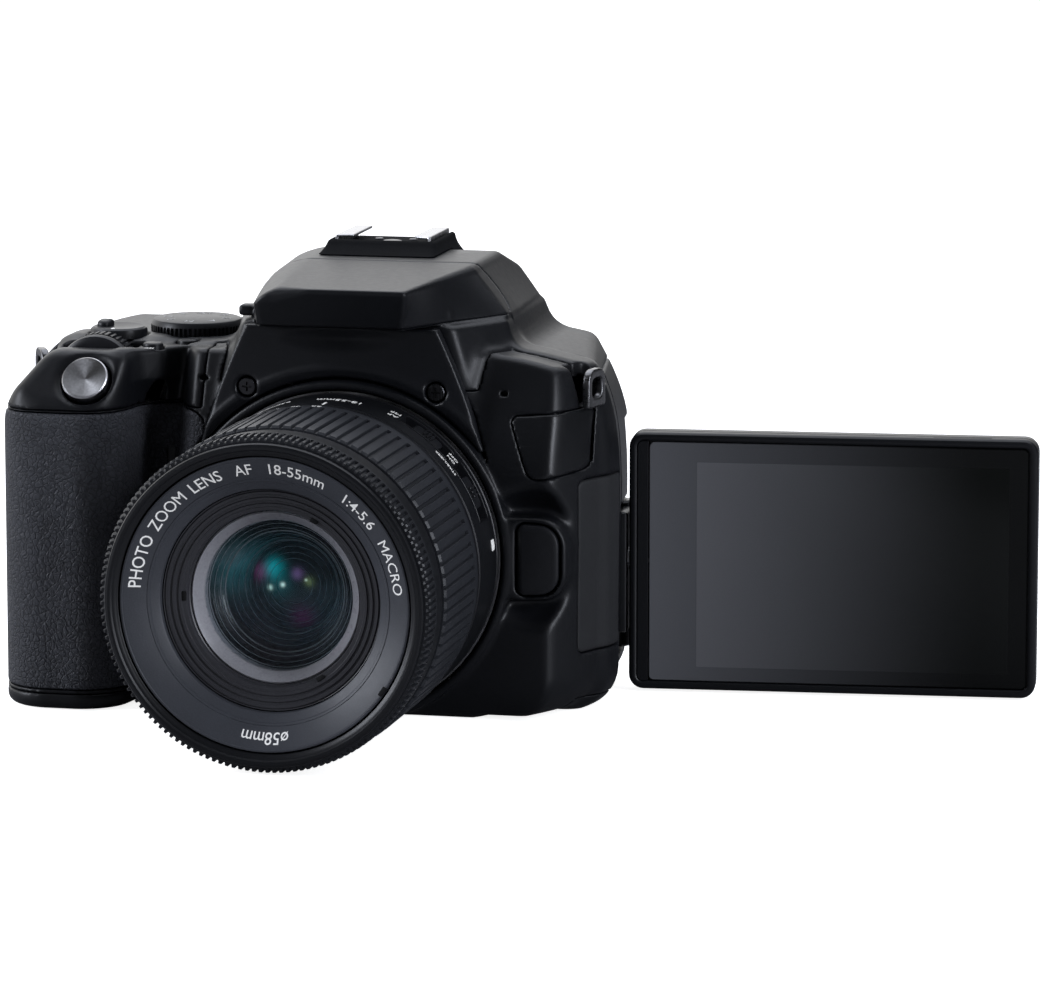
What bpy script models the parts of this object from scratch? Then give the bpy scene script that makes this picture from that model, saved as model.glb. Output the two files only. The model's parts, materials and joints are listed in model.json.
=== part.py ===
"""Compact single-lens reflex camera with a collapsible standard zoom and a side-hinged screen.

Frame: +X towards the screen hinge side, +Y from the lens towards the back, +Z up.  The origin is on
the base plate, below the optical axis, in the plane of the image sensor.  Lengths are in millimetres
in the design functions, with y measured from the lens mount flange, and become metres in the meshes.
"""
import bpy
import bmesh
import math
from mathutils import Matrix, Vector

MM = 0.001

# ---- driving dimensions (millimetres) ----
FLANGE_TO_SENSOR = 44.0
AXIS_Z = 33.0
BODY_LEFT, BODY_RIGHT = -70.2, 52.2
FRONT_Y, REAR_Y = 15.0, 57.5
TOP_Z = 72.2
WALL = 2.0
GAP = 0.3
SEAM_BOTTOM, SEAM_TOP, SEAM_GRIP, SEAM_REAR = 3.2, 66.0, 61.0, 36.0
CHIN_X, CHIN_Y = -40.0, 10.0
GRIP_SEAM_X = -31.5
GRIP_FRONT = -8.0
BOSS_R = 34.8
MOUNT_R = 27.0
FLASH_AXIS_Y, FLASH_AXIS_Z, FLASH_PIVOT_R = 21.5, 84.6, 5.2
FLASH_LIP_Z = 79.3
PLATE_TOP_Z = 78.5
LENS_FRONT = -60.2
LENS_R = 32.4
ZOOM_R = 32.95
FOCUS_R = 32.75
SCREEN_W, SCREEN_H, SCREEN_T = 83.1, 53.15, 7.5
SCREEN_LOW = 0.5
SCREEN_OPEN_DEG = 5.0
SWING_X, SWING_Y = 47.0, 47.0
SCREEN_EDGE = 3.3
SCREEN_FACE = -11.0
SWIVEL_Z = SCREEN_LOW + SCREEN_H / 2
MODE_X, MODE_Y, MODE_R = -37.4, 28.5, 9.5
POWER_X, POWER_Y, POWER_R = -51.0, 18.0, 5.8
DIAL_X, DIAL_Z, DIAL_R, DIAL_Y0, DIAL_Y1 = -52.4, 66.4, 8.2, 5.4, 12.0
SHUTTER_X, SHUTTER_Y, SHUTTER_R = -51.7, -3.6, 4.8
SLOPE_Y0, SLOPE_Z0, SLOPE_Y1 = -8.0, 61.0, 0.4
PAD_X, PAD_Z = -53.0, 31.0
EYE_Z = 75.0

for old in list(bpy.data.objects):
    bpy.data.objects.remove(old, do_unlink=True)


# ---- materials ----
def material(name, colour, roughness, metallic=0.0, alpha=1.0):
    mat = bpy.data.materials.new(name)
    mat.use_nodes = True
    shader = mat.node_tree.nodes["Principled BSDF"]
    shader.inputs["Base Color"].default_value = (*colour, 1.0)
    shader.inputs["Roughness"].default_value = roughness
    shader.inputs["Metallic"].default_value = metallic
    shader.inputs["Alpha"].default_value = alpha
    mat.diffuse_color = (*colour, alpha)
    mat.roughness = roughness
    mat.metallic = metallic
    return mat


SHELL = ("shell", (0.022, 0.023, 0.026), 0.48)
RUBBER = ("grip rubber", (0.035, 0.036, 0.039), 0.8)
LENS_BLACK = ("lens black", (0.016, 0.017, 0.019), 0.42)
RING_RUBBER = ("ring grey", (0.05, 0.053, 0.058), 0.5)
GLOSS = ("gloss black", (0.008, 0.008, 0.009), 0.12)
STEEL = ("satin steel", (0.62, 0.62, 0.62), 0.3, 1.0)
DARK_METAL = ("dark metal", (0.12, 0.12, 0.13), 0.35, 1.0)
GLASS = ("coated glass", (0.03, 0.05, 0.07), 0.03)
SCREEN_GLASS = ("screen glass", (0.012, 0.012, 0.014), 0.06)
MIRROR = ("mirror", (0.8, 0.8, 0.8), 0.02, 1.0)
SENSOR = ("sensor", (0.05, 0.09, 0.08), 0.1)
CELL = ("battery case", (0.06, 0.06, 0.065), 0.5)


def to_world(x, y, z):
    return Vector((x * MM, (y - FLANGE_TO_SENSOR) * MM, z * MM))


# ---- outline helpers ----
def rounded(corners, steps=3):
    """Closed outline through corners (u, v, radius), every corner an arc of the same point count."""
    points = []
    count = len(corners)
    for i in range(count):
        here = Vector(corners[i][:2])
        before = Vector(corners[i - 1][:2]) - here
        after = Vector(corners[(i + 1) % count][:2]) - here
        radius = max(corners[i][2], 0.02)
        half = before.angle(after) / 2
        reach = radius / math.tan(half)
        reach = min(reach, 0.48 * before.length, 0.48 * after.length)
        radius = reach * math.tan(half)
        start = here + before.normalized() * reach
        end = here + after.normalized() * reach
        centre = here + (before.normalized() + after.normalized()).normalized() * (
            radius / math.sin(half)
        )
        first = start - centre
        turn = first.angle_signed(end - centre)
        for k in range(steps + 1):
            a = math.atan2(first.y, first.x) - turn * k / steps
            points.append((centre.x + radius * math.cos(a), centre.y + radius * math.sin(a)))
    return points


def inset(corners, amount):
    """The same corner list moved inwards by amount (outwards when negative)."""
    count = len(corners)
    area = sum(
        corners[i - 1][0] * corners[i][1] - corners[i][0] * corners[i - 1][1]
        for i in range(count)
    )
    side = 1.0 if area > 0 else -1.0
    moved = []
    for i in range(count):
        here = Vector(corners[i][:2])
        d0 = (here - Vector(corners[i - 1][:2])).normalized()
        d1 = (Vector(corners[(i + 1) % count][:2]) - here).normalized()
        n0 = Vector((-d0.y, d0.x)) * side
        n1 = Vector((-d1.y, d1.x)) * side
        push = (n0 + n1) / (1 + n0.dot(n1)) * amount
        moved.append((here.x + push.x, here.y + push.y, max(corners[i][2] - amount, 0.3)))
    return moved


# ---- mesh helpers ----
def finish(name, bm, look, sharp=32.0):
    bmesh.ops.recalc_face_normals(bm, faces=bm.faces)
    mesh = bpy.data.meshes.new(name)
    bm.to_mesh(mesh)
    bm.free()
    mesh.shade_smooth()
    mesh.set_sharp_from_angle(angle=math.radians(sharp))
    obj = bpy.data.objects.new(name, mesh)
    bpy.context.scene.collection.objects.link(obj)
    if look:
        mesh.materials.append(material(name + " " + look[0], *look[1:]))
    return obj


def loft(name, rings, look=None):
    """Solid through rings of (x, y, z) points with equal counts, both ends capped."""
    bm = bmesh.new()
    rows = [[bm.verts.new(to_world(*p)) for p in ring] for ring in rings]
    count = len(rows[0])
    for low, high in zip(rows, rows[1:]):
        for i in range(count):
            j = (i + 1) % count
            bm.faces.new((low[i], low[j], high[j], high[i]))
    bm.faces.new(rows[0])
    bm.faces.new(rows[-1])
    bmesh.ops.triangulate(bm, faces=[f for f in bm.faces if len(f.verts) == 4])
    return finish(name, bm, look)


def along_y(name, sections, look=None):
    """Loft of (y, outline of (x, z)) sections."""
    return loft(name, [[(u, y, v) for u, v in outline] for y, outline in sections], look)


def along_z(name, sections, look=None):
    """Loft of (z, outline of (x, y)) sections."""
    return loft(name, [[(u, v, z) for u, v in outline] for z, outline in sections], look)


def box(name, x0, x1, y0, y1, z0, z1, look=None, bevel=0.0):
    bm = bmesh.new()
    bmesh.ops.create_cube(bm, size=1.0)
    low, high = to_world(x0, y0, z0), to_world(x1, y1, z1)
    size, mid = high - low, (high + low) / 2
    for v in bm.verts:
        v.co = Vector((v.co.x * size.x, v.co.y * size.y, v.co.z * size.z)) + mid
    if bevel:
        bmesh.ops.bevel(bm, geom=bm.edges[:], offset=bevel * MM, segments=1, affect="EDGES")
    return finish(name, bm, look)


def lathe(name, profile, centre, axis="Y", steps=40, look=None, matrix=None):
    """Solid of revolution of a closed (radius, height) profile about an axis through centre."""
    bm = bmesh.new()
    rings = []
    for radius, height in profile:
        ring = []
        for k in range(steps if radius > 1e-6 else 1):
            a = 2 * math.pi * k / steps
            u, v = radius * math.cos(a), radius * math.sin(a)
            if axis == "Y":
                p = (u, height, v)
            elif axis == "Z":
                p = (u, v, height)
            else:
                p = (height, u, v)
            p = matrix @ Vector(p) if matrix else Vector(p)
            ring.append(bm.verts.new(to_world(*(p + Vector(centre)))))
        rings.append(ring)
    for a, b in zip(rings, rings[1:] + rings[:1]):
        if len(a) == 1 and len(b) == 1:
            continue
        for k in range(steps):
            j = (k + 1) % steps
            if len(a) == 1:
                bm.faces.new((a[0], b[j], b[k]))
            elif len(b) == 1:
                bm.faces.new((a[k], a[j], b[0]))
            else:
                bm.faces.new((a[k], a[j], b[j], b[k]))
    return finish(name, bm, look)


def disc(name, radius, h0, h1, centre, axis="Y", steps=24, look=None, edge=0.0, matrix=None):
    """Short cylinder from height h0 to h1, with an optional chamfer at the h1 end."""
    profile = [(0, h0), (radius, h0), (radius, h1 - edge if h1 > h0 else h1 + edge)]
    if edge:
        profile.append((radius - edge, h1))
    profile.append((0, h1))
    if h1 < h0:
        profile.reverse()
    return lathe(name, profile, centre, axis, steps, look, matrix)


def prism_y(name, outline, y0, y1, look=None):
    return along_y(name, [(y0, outline), (y1, outline)], look)


def prism_z(name, outline, z0, z1, look=None):
    return along_z(name, [(z0, outline), (z1, outline)], look)


def tidy(mesh):
    """Welds the near-coincident points a Boolean leaves."""
    bm = bmesh.new()
    bm.from_mesh(mesh)
    bmesh.ops.remove_doubles(bm, verts=bm.verts, dist=2e-6)
    bmesh.ops.dissolve_degenerate(bm, edges=bm.edges, dist=1e-6)
    bm.to_mesh(mesh)
    bm.free()


def combine(target, other, operation, keep=False):
    """Exact Boolean of target with other, applied to target's mesh."""
    mod = target.modifiers.new("cut", "BOOLEAN")
    mod.solver = "EXACT"
    mod.operation = operation
    mod.object = other
    graph = bpy.context.evaluated_depsgraph_get()
    result = bpy.data.meshes.new_from_object(target.evaluated_get(graph))
    target.modifiers.clear()
    spent = target.data
    target.data = result
    bpy.data.meshes.remove(spent)
    tidy(result)
    if not keep:
        bpy.data.objects.remove(other, do_unlink=True)
    return target


def cut(target, *others):
    for other in others:
        combine(target, other, "DIFFERENCE")
    return target


def join(target, *others):
    for other in others:
        combine(target, other, "UNION")
    return target


def keep_inside(target, other):
    return combine(target, other, "INTERSECT")


def copy_of(obj, name):
    twin = bpy.data.objects.new(name, obj.data.copy())
    bpy.context.scene.collection.objects.link(twin)
    return twin


def dress(obj, name, look, sharp=32.0):
    """Gives a finished solid its name, its material and its shading."""
    obj.name = name
    obj.data.name = name
    obj.data.materials.clear()
    obj.data.materials.append(material(name + " " + look[0], *look[1:]))
    bm = bmesh.new()
    bm.from_mesh(obj.data)
    bmesh.ops.remove_doubles(bm, verts=bm.verts, dist=2e-6)
    bmesh.ops.dissolve_limit(
        bm, angle_limit=math.radians(0.4), verts=bm.verts, edges=bm.edges, delimit={"NORMAL"}
    )
    bmesh.ops.triangulate(bm, faces=bm.faces)
    bm.to_mesh(obj.data)
    bm.free()
    obj.data.shade_smooth()
    obj.data.set_sharp_from_angle(angle=math.radians(sharp))
    return obj


def origin_at(obj, x, y, z):
    """Moves an object's origin onto its joint axis without moving its shape."""
    spot = to_world(x, y, z)
    obj.data.transform(Matrix.Translation(-spot))
    obj.location = spot
    return obj


# ---- body envelope, as solids moved inwards by t ----
def right_side(y):
    """Half of the body outline on the hinge side: widest just behind the front corner."""
    if y < 21:
        return BODY_RIGHT - 1.4 * ((21 - y) / 6) ** 1.5
    return BODY_RIGHT - 4.6 * min((y - 21) / 36.5, 1.0) ** 0.8


def left_side(y):
    return BODY_LEFT + (3.0 * ((y - 44) / 13.5) ** 1.6 if y > 44 else 0.0)


def block_section(y):
    left, right = left_side(y), right_side(y)
    return [
        (left, 0.0, 5.0), (right - 0.6, 0.0, 4.5), (right, 57.0, 7.0), (right - 2.8, 69.0, 2.6),
        (31.0, 73.2, 6.0), (-20.0, TOP_Z, 3.0), (left + 9.5, TOP_Z, 6.0), (left + 3.0, 68.5, 4.0),
        (left, 60.0, 8.0),
    ]


def block(name, t=0.0):
    stations = [
        (FRONT_Y + t, 2.0), (FRONT_Y + 0.6 + t, 0.8), (FRONT_Y + 2.2 + t, 0.0), (21.0, 0.0),
        (27.0, 0.0), (36.0, 0.0), (44.0, 0.0), (51.0, 0.0), (REAR_Y - 2.4 - t, 0.0),
        (REAR_Y - 0.7 - t, 0.8), (REAR_Y - t, 2.3),
    ]
    sections = []
    for y, extra in stations:
        sections.append((y, rounded(inset(block_section(y), t + extra), 2)))
    return along_y(name, sections)


def bulge(name, t=0.0, back=24.0):
    """The raised front around the lens mount, wider towards the shoulders."""
    front = [
        (-36.0, 0.8, 8.0), (42.6, 0.8, 6.0), (45.8, 7.0, 6.0), (45.8, 43.0, 10.0),
        (36.5, 58.0, 12.0), (24.0, 66.5, 7.0), (-24.0, 66.5, 7.0), (-36.0, 50.0, 12.0),
    ]
    rear = [
        (-42.0, 0.6, 8.0), (48.5, 0.6, 5.0), (51.0, 5.0, 6.0), (51.0, 57.0, 7.0),
        (48.0, 67.5, 4.0), (31.0, 71.4, 6.0), (-31.0, 71.4, 6.0), (-42.0, 60.0, 12.0),
    ]
    mix = [
        tuple(a + (b - a) * 0.42 for a, b in zip(p, q)) for p, q in zip(front, rear)
    ]
    sections = [
        (t, rounded(inset(front, t + 1.6), 2)),
        (t + 0.5, rounded(inset(front, t + 0.5), 2)),
        (t + 1.6, rounded(inset(front, t), 2)),
        (7.0 + t, rounded(inset(mix, t), 2)),
        (FRONT_Y + 1.5 + t, rounded(inset(rear, t), 2)),
        (back, rounded(inset(rear, t), 2)),
    ]
    return along_y(name, sections)


def grip(name, t=0.0):
    """Hand grip with a sloped top that carries the shutter button."""
    plan = [
        (BODY_LEFT, 24.0, 0.5), (BODY_LEFT, GRIP_FRONT, 10.5), (-45.2, GRIP_FRONT, 9.0),
        (-42.2, 12.5, 5.0), (-37.5, 16.0, 2.0), (-37.5, 24.0, 0.5),
    ]
    sections = [
        (0.0 + t, rounded(inset(plan, t + 2.2), 3)), (0.7 + t, rounded(inset(plan, t + 0.9), 3)),
        (2.4 + t, rounded(inset(plan, t), 3)), (74.0, rounded(inset(plan, t), 3)),
    ]
    solid = along_z(name, sections)
    rise = TOP_Z - SLOPE_Z0
    run = SLOPE_Y1 - SLOPE_Y0
    down = t * math.hypot(rise, run) / run
    wedge = loft("wedge", [
        [(x, -30.0, SLOPE_Z0 - down - 22.0 * rise / run), (x, 5.0 + t, SLOPE_Z0 - down + (13.0 + t) * rise / run),
         (x, 5.0 + t, 110.0), (x, -30.0, 110.0)] for x in (-90.0, -20.0)
    ])
    cut(solid, wedge, box("above", -90, -20, -30, 40, TOP_Z - t, 110))
    corner = loft("corner", [
        [(x, y, z) for x, z in (
            (BODY_LEFT - 6.0, 52.0 - t), (BODY_LEFT + t + 0.0, 60.0 - t), (BODY_LEFT + 9.5, TOP_Z - t * 0.6),
            (BODY_LEFT + 9.5, 90.0), (BODY_LEFT - 6.0, 90.0),
        )] for y in (-20.0, 30.0)
    ])
    return cut(solid, corner)


def ledge(name):
    """Front edge of the top plate where it bridges from the grip to the finder hump."""
    low = [(-47.0, 9.0, 1.0), (-42.0, 12.6, 3.0), (-33.0, 15.6, 2.0), (-29.0, 16.6, 1.0), (-29.0, 24.0, 0.5),
           (-47.0, 24.0, 0.5)]
    high = [(-47.0, 0.6, 1.0), (-43.6, 2.6, 3.0), (-35.6, 12.4, 4.0), (-29.0, 15.4, 1.0), (-29.0, 24.0, 0.5),
            (-47.0, 24.0, 0.5)]
    sections = [(56.0, rounded(low, 2)), (67.0, rounded(high, 2)), (TOP_Z - 1.0, rounded(high, 2)),
                (TOP_Z, rounded(inset(high, 0.8), 2))]
    return along_z(name, sections)


def hump_corners(right, left):
    """Outline of the finder hump: (front, knee, side, back) points of each side, slimmer next to the mode dial."""
    radii = (1.6, 5.0, 4.5, 4.0)
    points = [(*right[2 * i:2 * i + 2], r) for i, r in enumerate(radii)]
    return points + [(-left[2 * i], left[2 * i + 1], radii[i]) for i in (3, 2, 1, 0)]


def hump_low(name, t=0.0):
    levels = [
        (58.0, (26.0, 3.4, 31.0, 11.0, 34.6, 17.5, 34.5, 56.5), (26.0, 3.4, 29.5, 11.0, 31.5, 17.5, 33.5, 56.5)),
        (72.0, (23.8, 3.4, 28.4, 10.5, 31.8, 16.5, 32.0, 56.5), (22.6, 3.4, 24.8, 10.5, 26.4, 16.5, 31.0, 56.5)),
        (FLASH_LIP_Z - 0.4 - t, (21.8, 3.4, 26.0, 10.2, 30.2, 17.5, 29.0, 56.5),
         (20.9, 3.4, 22.6, 10.2, 24.4, 17.5, 28.6, 56.5)),
    ]
    return along_z(name, [(z, rounded(inset(hump_corners(*c), t), 2)) for z, *c in levels])


def hump_high(name, t=0.0):
    levels = [
        (FLASH_LIP_Z - 6.0, (13.5, -4.2, 21.7, 9.0, 30.0, 19.5, 28.6, 56.0), (13.5, -4.2, 20.3, 9.0, 24.6, 19.5, 28.0, 56.0)),
        (FLASH_LIP_Z, (14.5, -6.6, 21.7, 7.0, 30.0, 19.5, 28.6, 56.0), (15.2, -6.6, 19.8, 7.0, 23.1, 19.5, 28.0, 56.0)),
        (84.0, (15.3, -8.6, 20.1, 5.8, 26.1, 20.4, 25.6, 54.8), (15.4, -8.6, 18.2, 5.8, 20.9, 20.4, 24.8, 54.8)),
        (87.4, (15.9, -10.0, 18.9, 5.0, 23.2, 21.0, 23.4, 54.0), (12.8, -10.0, 15.4, 5.0, 18.1, 21.0, 20.8, 54.0)),
        (93.0, (15.9, -12.4, 17.4, 5.0, 19.6, 21.0, 19.6, 51.0), (9.5, -12.4, 11.0, 5.0, 12.0, 21.0, 13.5, 51.0)),
    ]
    solid = along_z(name, [(z, rounded(inset(hump_corners(*c), t), 2)) for z, *c in levels])
    roof = loft("roof", [
        [(x, -30.0, 86.2 - t), (x, 24.0, 89.0 - t), (x, 45.0, 89.0 - t), (x, 58.5, 83.0 - t),
         (x, 58.5, 110.0), (x, -30.0, 110.0)] for x in (-40.0, 40.0)
    ])
    return cut(solid, roof)


def flash_zone(name, g):
    """Space swept by the flash head's shell: everything ahead of its pivot, and the pivot drum."""
    zone = box(name, -45, 45, -40, FLASH_AXIS_Y, FLASH_LIP_Z - g, 110)
    drum = disc("drum", FLASH_PIVOT_R + g, -45, 45, (0, FLASH_AXIS_Y, FLASH_AXIS_Z), "X", 32)
    return join(zone, drum)


def front_plate_solid(name, g=0.0):
    """Apron between the lens and the flash, with a slightly larger back than front."""
    def outline(wide):
        top, low = PLATE_TOP_Z + g, 58.4 - g
        arc = []
        radius = BOSS_R + 0.6 - g
        side = 26.6 + wide + g
        reach = math.degrees(math.asin(min((side - 0.4) / radius, 1.0)))
        for k in range(13):
            a = math.radians(-reach + 2 * reach * k / 12)
            arc.append((radius * math.sin(a), AXIS_Z + radius * math.cos(a)))
        low = min(low, arc[0][1])
        crest = 20.3 + wide + g
        return arc + [(side, low), (crest, top), (-crest, top), (-side, low)]
    return along_y(name, [(0.4 - g, outline(-0.6)), (1.0 - g, outline(0.0)), (3.1 + g, outline(1.2))])


# ---- covers ----
outer = block("outer")
high = cut(hump_high("high"), flash_zone("zone", GAP), box("below", -60, 60, -40, FLASH_AXIS_Y + 0.8, 60, 79.1))
join(outer, bulge("bulge"), grip("grip"), ledge("ledge"), hump_low("low"), high)
boss = lathe("boss", [(0, -1.0), (BOSS_R - 0.7, -1.0), (BOSS_R, -0.3), (BOSS_R, 10.0), (0, 10.0)],
             (0, 0, AXIS_Z), "Y", 48)
cut(boss, box("flat", -40, 40, -5, 15, -10, 0.8))
join(outer, boss)

inner = block("inner", WALL)
cut(inner, box("tray wall", -42.4, 70, REAR_Y - 9.4, 70, -5, 56.5))
cut(inner, box("arm wall", 41.2, 70, 33.4, 70, 5.2, 40.4))
cut(inner, box("flap wall", 46.0, 70, 6.0, 26.0, 10.5, 50.5))
cut(inner, box("port wall", -80, -66.4, 24.5, 46.5, 17.0, 53.0))
high_inner = cut(hump_high("high inner", WALL), flash_zone("zone", GAP + WALL))
cut(high_inner, box("below", -60, 60, -40, 29.0, 60, 79.2))
join(inner, cut(bulge("bulge inner", 3.0, 22.0), box("flap wall", 45.4, 70, -6.0, 26.0, 10.5, 50.5)))
join(inner, grip("grip inner", 3.3), hump_low("low inner", WALL), high_inner)

cut(inner, disc("dial wall", MODE_R + 2.6, TOP_Z - WALL, 95, (MODE_X, MODE_Y, 0), "Z", 32))
shell = combine(outer, inner, "DIFFERENCE", keep=True)
cut(shell, disc("dial well", MODE_R + 0.6, TOP_Z, 95, (MODE_X, MODE_Y, 0), "Z", 40))

# holes common to the covers
shutter_tilt = math.atan2(TOP_Z - SLOPE_Z0, SLOPE_Y1 - SLOPE_Y0)
SHUTTER_Z = SLOPE_Z0 + (SHUTTER_Y - SLOPE_Y0) * math.tan(shutter_tilt)
tilt = Matrix.Rotation(shutter_tilt, 3, "X")
mount_bore = lathe("bore", [(0, -4), (33.1, -4), (33.1, 2.7), (28.6, 2.7), (28.6, 9.0), (0, 9.0)],
                   (0, 0, AXIS_Z), "Y", 40)
screen_bay = box("screen bay", SWING_X - SCREEN_EDGE - SCREEN_W - 0.6, 80, SWING_Y + 3.1, 80, -5,
                 SCREEN_LOW + SCREEN_H + 0.5)
arm_bay = box("arm bay", 43.3, 80, 35.4, 80, 7.2, 38.4)
cut(shell, mount_bore, screen_bay, arm_bay)
cut(shell, box("dial slot", DIAL_X - DIAL_R - 0.5, DIAL_X + DIAL_R + 0.5, DIAL_Y0 - 0.4, DIAL_Y1 + 0.4, DIAL_Z - DIAL_R - 0.5, 90))
cut(shell, box("lug notch", 44.6, 60, 9.0, 19.0, 62.2, 80), box("lug notch", -80, -63.0, 9.0, 19.5, 61.6, 80))
cut(shell, front_plate_solid("plate space", GAP))

grip_zone = box("zone", -90, GRIP_SEAM_X, -30, 18.0, SEAM_GRIP, 120)
top_cover = keep_inside(copy_of(shell, "top"), join(box("zone", -90, 90, -30, 90, SEAM_TOP, 120), grip_zone))
base_zone = cut(box("zone", -90, 90, -30, 90, -5, SEAM_BOTTOM), box("chin", CHIN_X, 95, -35, CHIN_Y, -10, 10))
bottom_cover = keep_inside(copy_of(shell, "bottom"), base_zone)
front_zone = box("zone", -90, 90, -30, SEAM_REAR - GAP, SEAM_BOTTOM + GAP, SEAM_TOP - GAP)
join(front_zone, box("chin", CHIN_X + GAP, 89, -29, CHIN_Y - GAP, -6, 20))
cut(front_zone, box("grip zone", -95, GRIP_SEAM_X + GAP, -35, 18.0 + GAP, SEAM_GRIP - GAP, 130))
front_cover = keep_inside(copy_of(shell, "front"), front_zone)
rear_cover = keep_inside(shell, box("zone", -90, 90, SEAM_REAR, 90, SEAM_BOTTOM + GAP, SEAM_TOP - GAP))
bpy.data.objects.remove(inner, do_unlink=True)


def skin(name, depth, *solids, proud=0.0):
    """The outermost layer, depth thick, of the union of envelope solids, standing proud if asked."""
    whole = solids[0](name, -proud)
    core = solids[0]("core", depth)
    for solid in solids[1:]:
        join(whole, solid("more", -proud))
        join(core, solid("more", depth))
    return cut(whole, core)


# grip rubber lies in a shallow step of the front cover
def rubber_zone(g):
    zone = box("rubber zone", -90, -36.5 + g, -30, 14.4 + g, SEAM_BOTTOM + 0.8 - g, SEAM_GRIP - 0.7 + g)
    return zone


grip_rubber = keep_inside(skin("rubber", 1.3, grip), rubber_zone(0.0))
cut(grip_rubber, bulge("clear", -GAP))
cut(front_cover, keep_inside(skin("rubber space", 1.3 + GAP, grip, proud=0.6), rubber_zone(GAP)))


# badge plate: a thin inlaid plate on the sloping front, left plain
def badge_outline(g):
    return rounded(inset([(34.0, 61.2, 1.2), (38.4, 48.8, 2.6), (48.4, 50.4, 1.6), (48.6, 62.4, 1.2)], -g), 3)


badge_plate = keep_inside(skin("badge", 1.2, bulge, block), prism_y("zone", badge_outline(0.0), -5, 16.0))
cut(front_cover, keep_inside(skin("badge space", 1.2 + GAP, bulge, block, proud=0.6),
                             prism_y("zone", badge_outline(GAP), -5, 16.0 + GAP)))


# side flaps over the sockets
def flap_zone(g):
    return box("flap zone", 46.4 - g, 90, 7.5 - g, 23.0 + g, 13.0 - g, 48.0 + g)


def port_zone(g):
    return box("port zone", -90, -60, 27.0 - g, 44.0 + g, 19.5 - g, 50.5 + g)


remote_cover = keep_inside(skin("remote", 1.5, bulge, block), flap_zone(0.0))
cut(front_cover, keep_inside(skin("space", 1.5 + GAP, bulge, block, proud=0.6), flap_zone(GAP)))
hdmi_cover = keep_inside(skin("hdmi", 1.5, block), port_zone(0.0))
cut(rear_cover, keep_inside(skin("space", 1.5 + GAP, block, proud=0.6), port_zone(GAP)))
cut(front_cover, keep_inside(skin("space", 1.5 + GAP, block, proud=0.6), port_zone(GAP)))

# lens release opening
def release_outline(g):
    return rounded(inset([(36.2, 40.3, 1.5), (36.2, 25.9, 1.5), (44.6, 26.4, 4.0), (44.6, 39.9, 4.0)], -g), 3)


cut(front_cover, prism_y("release space", release_outline(GAP), -5, 7.5))
cut(front_cover, disc("pin space", 1.9, -3, 9, (30.0, 0, AXIS_Z), "Y", 16))

# battery door opening in the base, and the tripod bush hole
DOOR_X0, DOOR_X1, DOOR_Y0, DOOR_Y1 = -66.0, -47.2, 1.0, 38.5
cut(bottom_cover, box("door space", DOOR_X0 - GAP, DOOR_X1 + GAP, DOOR_Y0 - GAP, DOOR_Y1 + GAP, -5, 5))
TRIPOD_Y = 24.0
cut(bottom_cover, disc("bush space", 5.4, -3, 6, (0, TRIPOD_Y, 0), "Z", 24))

# push buttons on the back: name, x, z, radius
REAR_BUTTONS = [
    ("menu_button", 40.5, 60.2, 2.7), ("info_button", 31.5, 60.2, 2.7),
    ("live_view_button", -29.0, 60.5, 3.0), ("exposure_button", -45.0, 52.2, 2.7),
    ("ae_lock_button", -55.0, 62.3, 2.4), ("af_point_button", -62.8, 61.0, 2.4),
    ("playback_button", -47.4, 13.6, 2.7), ("erase_button", -58.6, 13.6, 2.7),
]
for label, x, z, radius in REAR_BUTTONS:
    cut(rear_cover, disc("hole", radius + GAP, 50, 62, (x, 0, z), "Y", 16))
cut(rear_cover, disc("pad hole", 9.1, 50, 62, (PAD_X, 0, PAD_Z), "Y", 32))
cut(rear_cover, box("eye hole", -12, 12, 50, 62, 68, 82))
cut(top_cover, box("eye hole", -11.5, 11.5, 50, 62, 69, 81))
cut(top_cover, disc("shutter hole", SHUTTER_R + GAP, -6, 4, (SHUTTER_X, SHUTTER_Y, SHUTTER_Z), "Z", 28, matrix=tilt))
TOP_BUTTONS = [("iso_button", -41.4, 9.6), ("disp_button", -35.8, 15.6)]
for label, x, y in TOP_BUTTONS:
    cut(top_cover, disc("hole", 2.1 + GAP, -6, 5, (x, y, TOP_Z), "Z", 16))

dress(top_cover, "top_cover", SHELL)
dress(bottom_cover, "bottom_cover", SHELL)
dress(front_cover, "front_cover", SHELL)
dress(rear_cover, "rear_cover", SHELL)
dress(grip_rubber, "grip_rubber", RUBBER)
dress(badge_plate, "badge_plate", GLOSS)
dress(remote_cover, "remote_cover", RUBBER)
dress(hdmi_cover, "hdmi_cover", RUBBER)
origin_at(remote_cover, right_side(23.0), 23.2, 30.5)
origin_at(hdmi_cover, BODY_LEFT, 44.2, 35.0)

front_plate = front_plate_solid("plate")
for side in (-1, 1):
    cut(front_plate, lathe("screw seat", [(0, -2), (2.1, -2), (2.1, 2.2), (0, 2.2)],
                           (side * 19.4, 0, 65.9), "Y", 20))
dress(front_plate, "front_plate", SHELL)
for side, label in ((-1, "plate_screw_left"), (1, "plate_screw_right")):
    screw = disc(label, 1.8, 1.9, 0.7, (side * 19.4, 0, 65.9), "Y", 20, DARK_METAL, 0.2)
    cut(screw, box("cross", side * 19.4 - 0.95, side * 19.4 + 0.95, -1, 1.3, 65.7, 66.1),
        box("cross", side * 19.4 - 0.2, side * 19.4 + 0.2, -1, 1.3, 64.95, 66.85))
    dress(screw, label, DARK_METAL)

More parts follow.
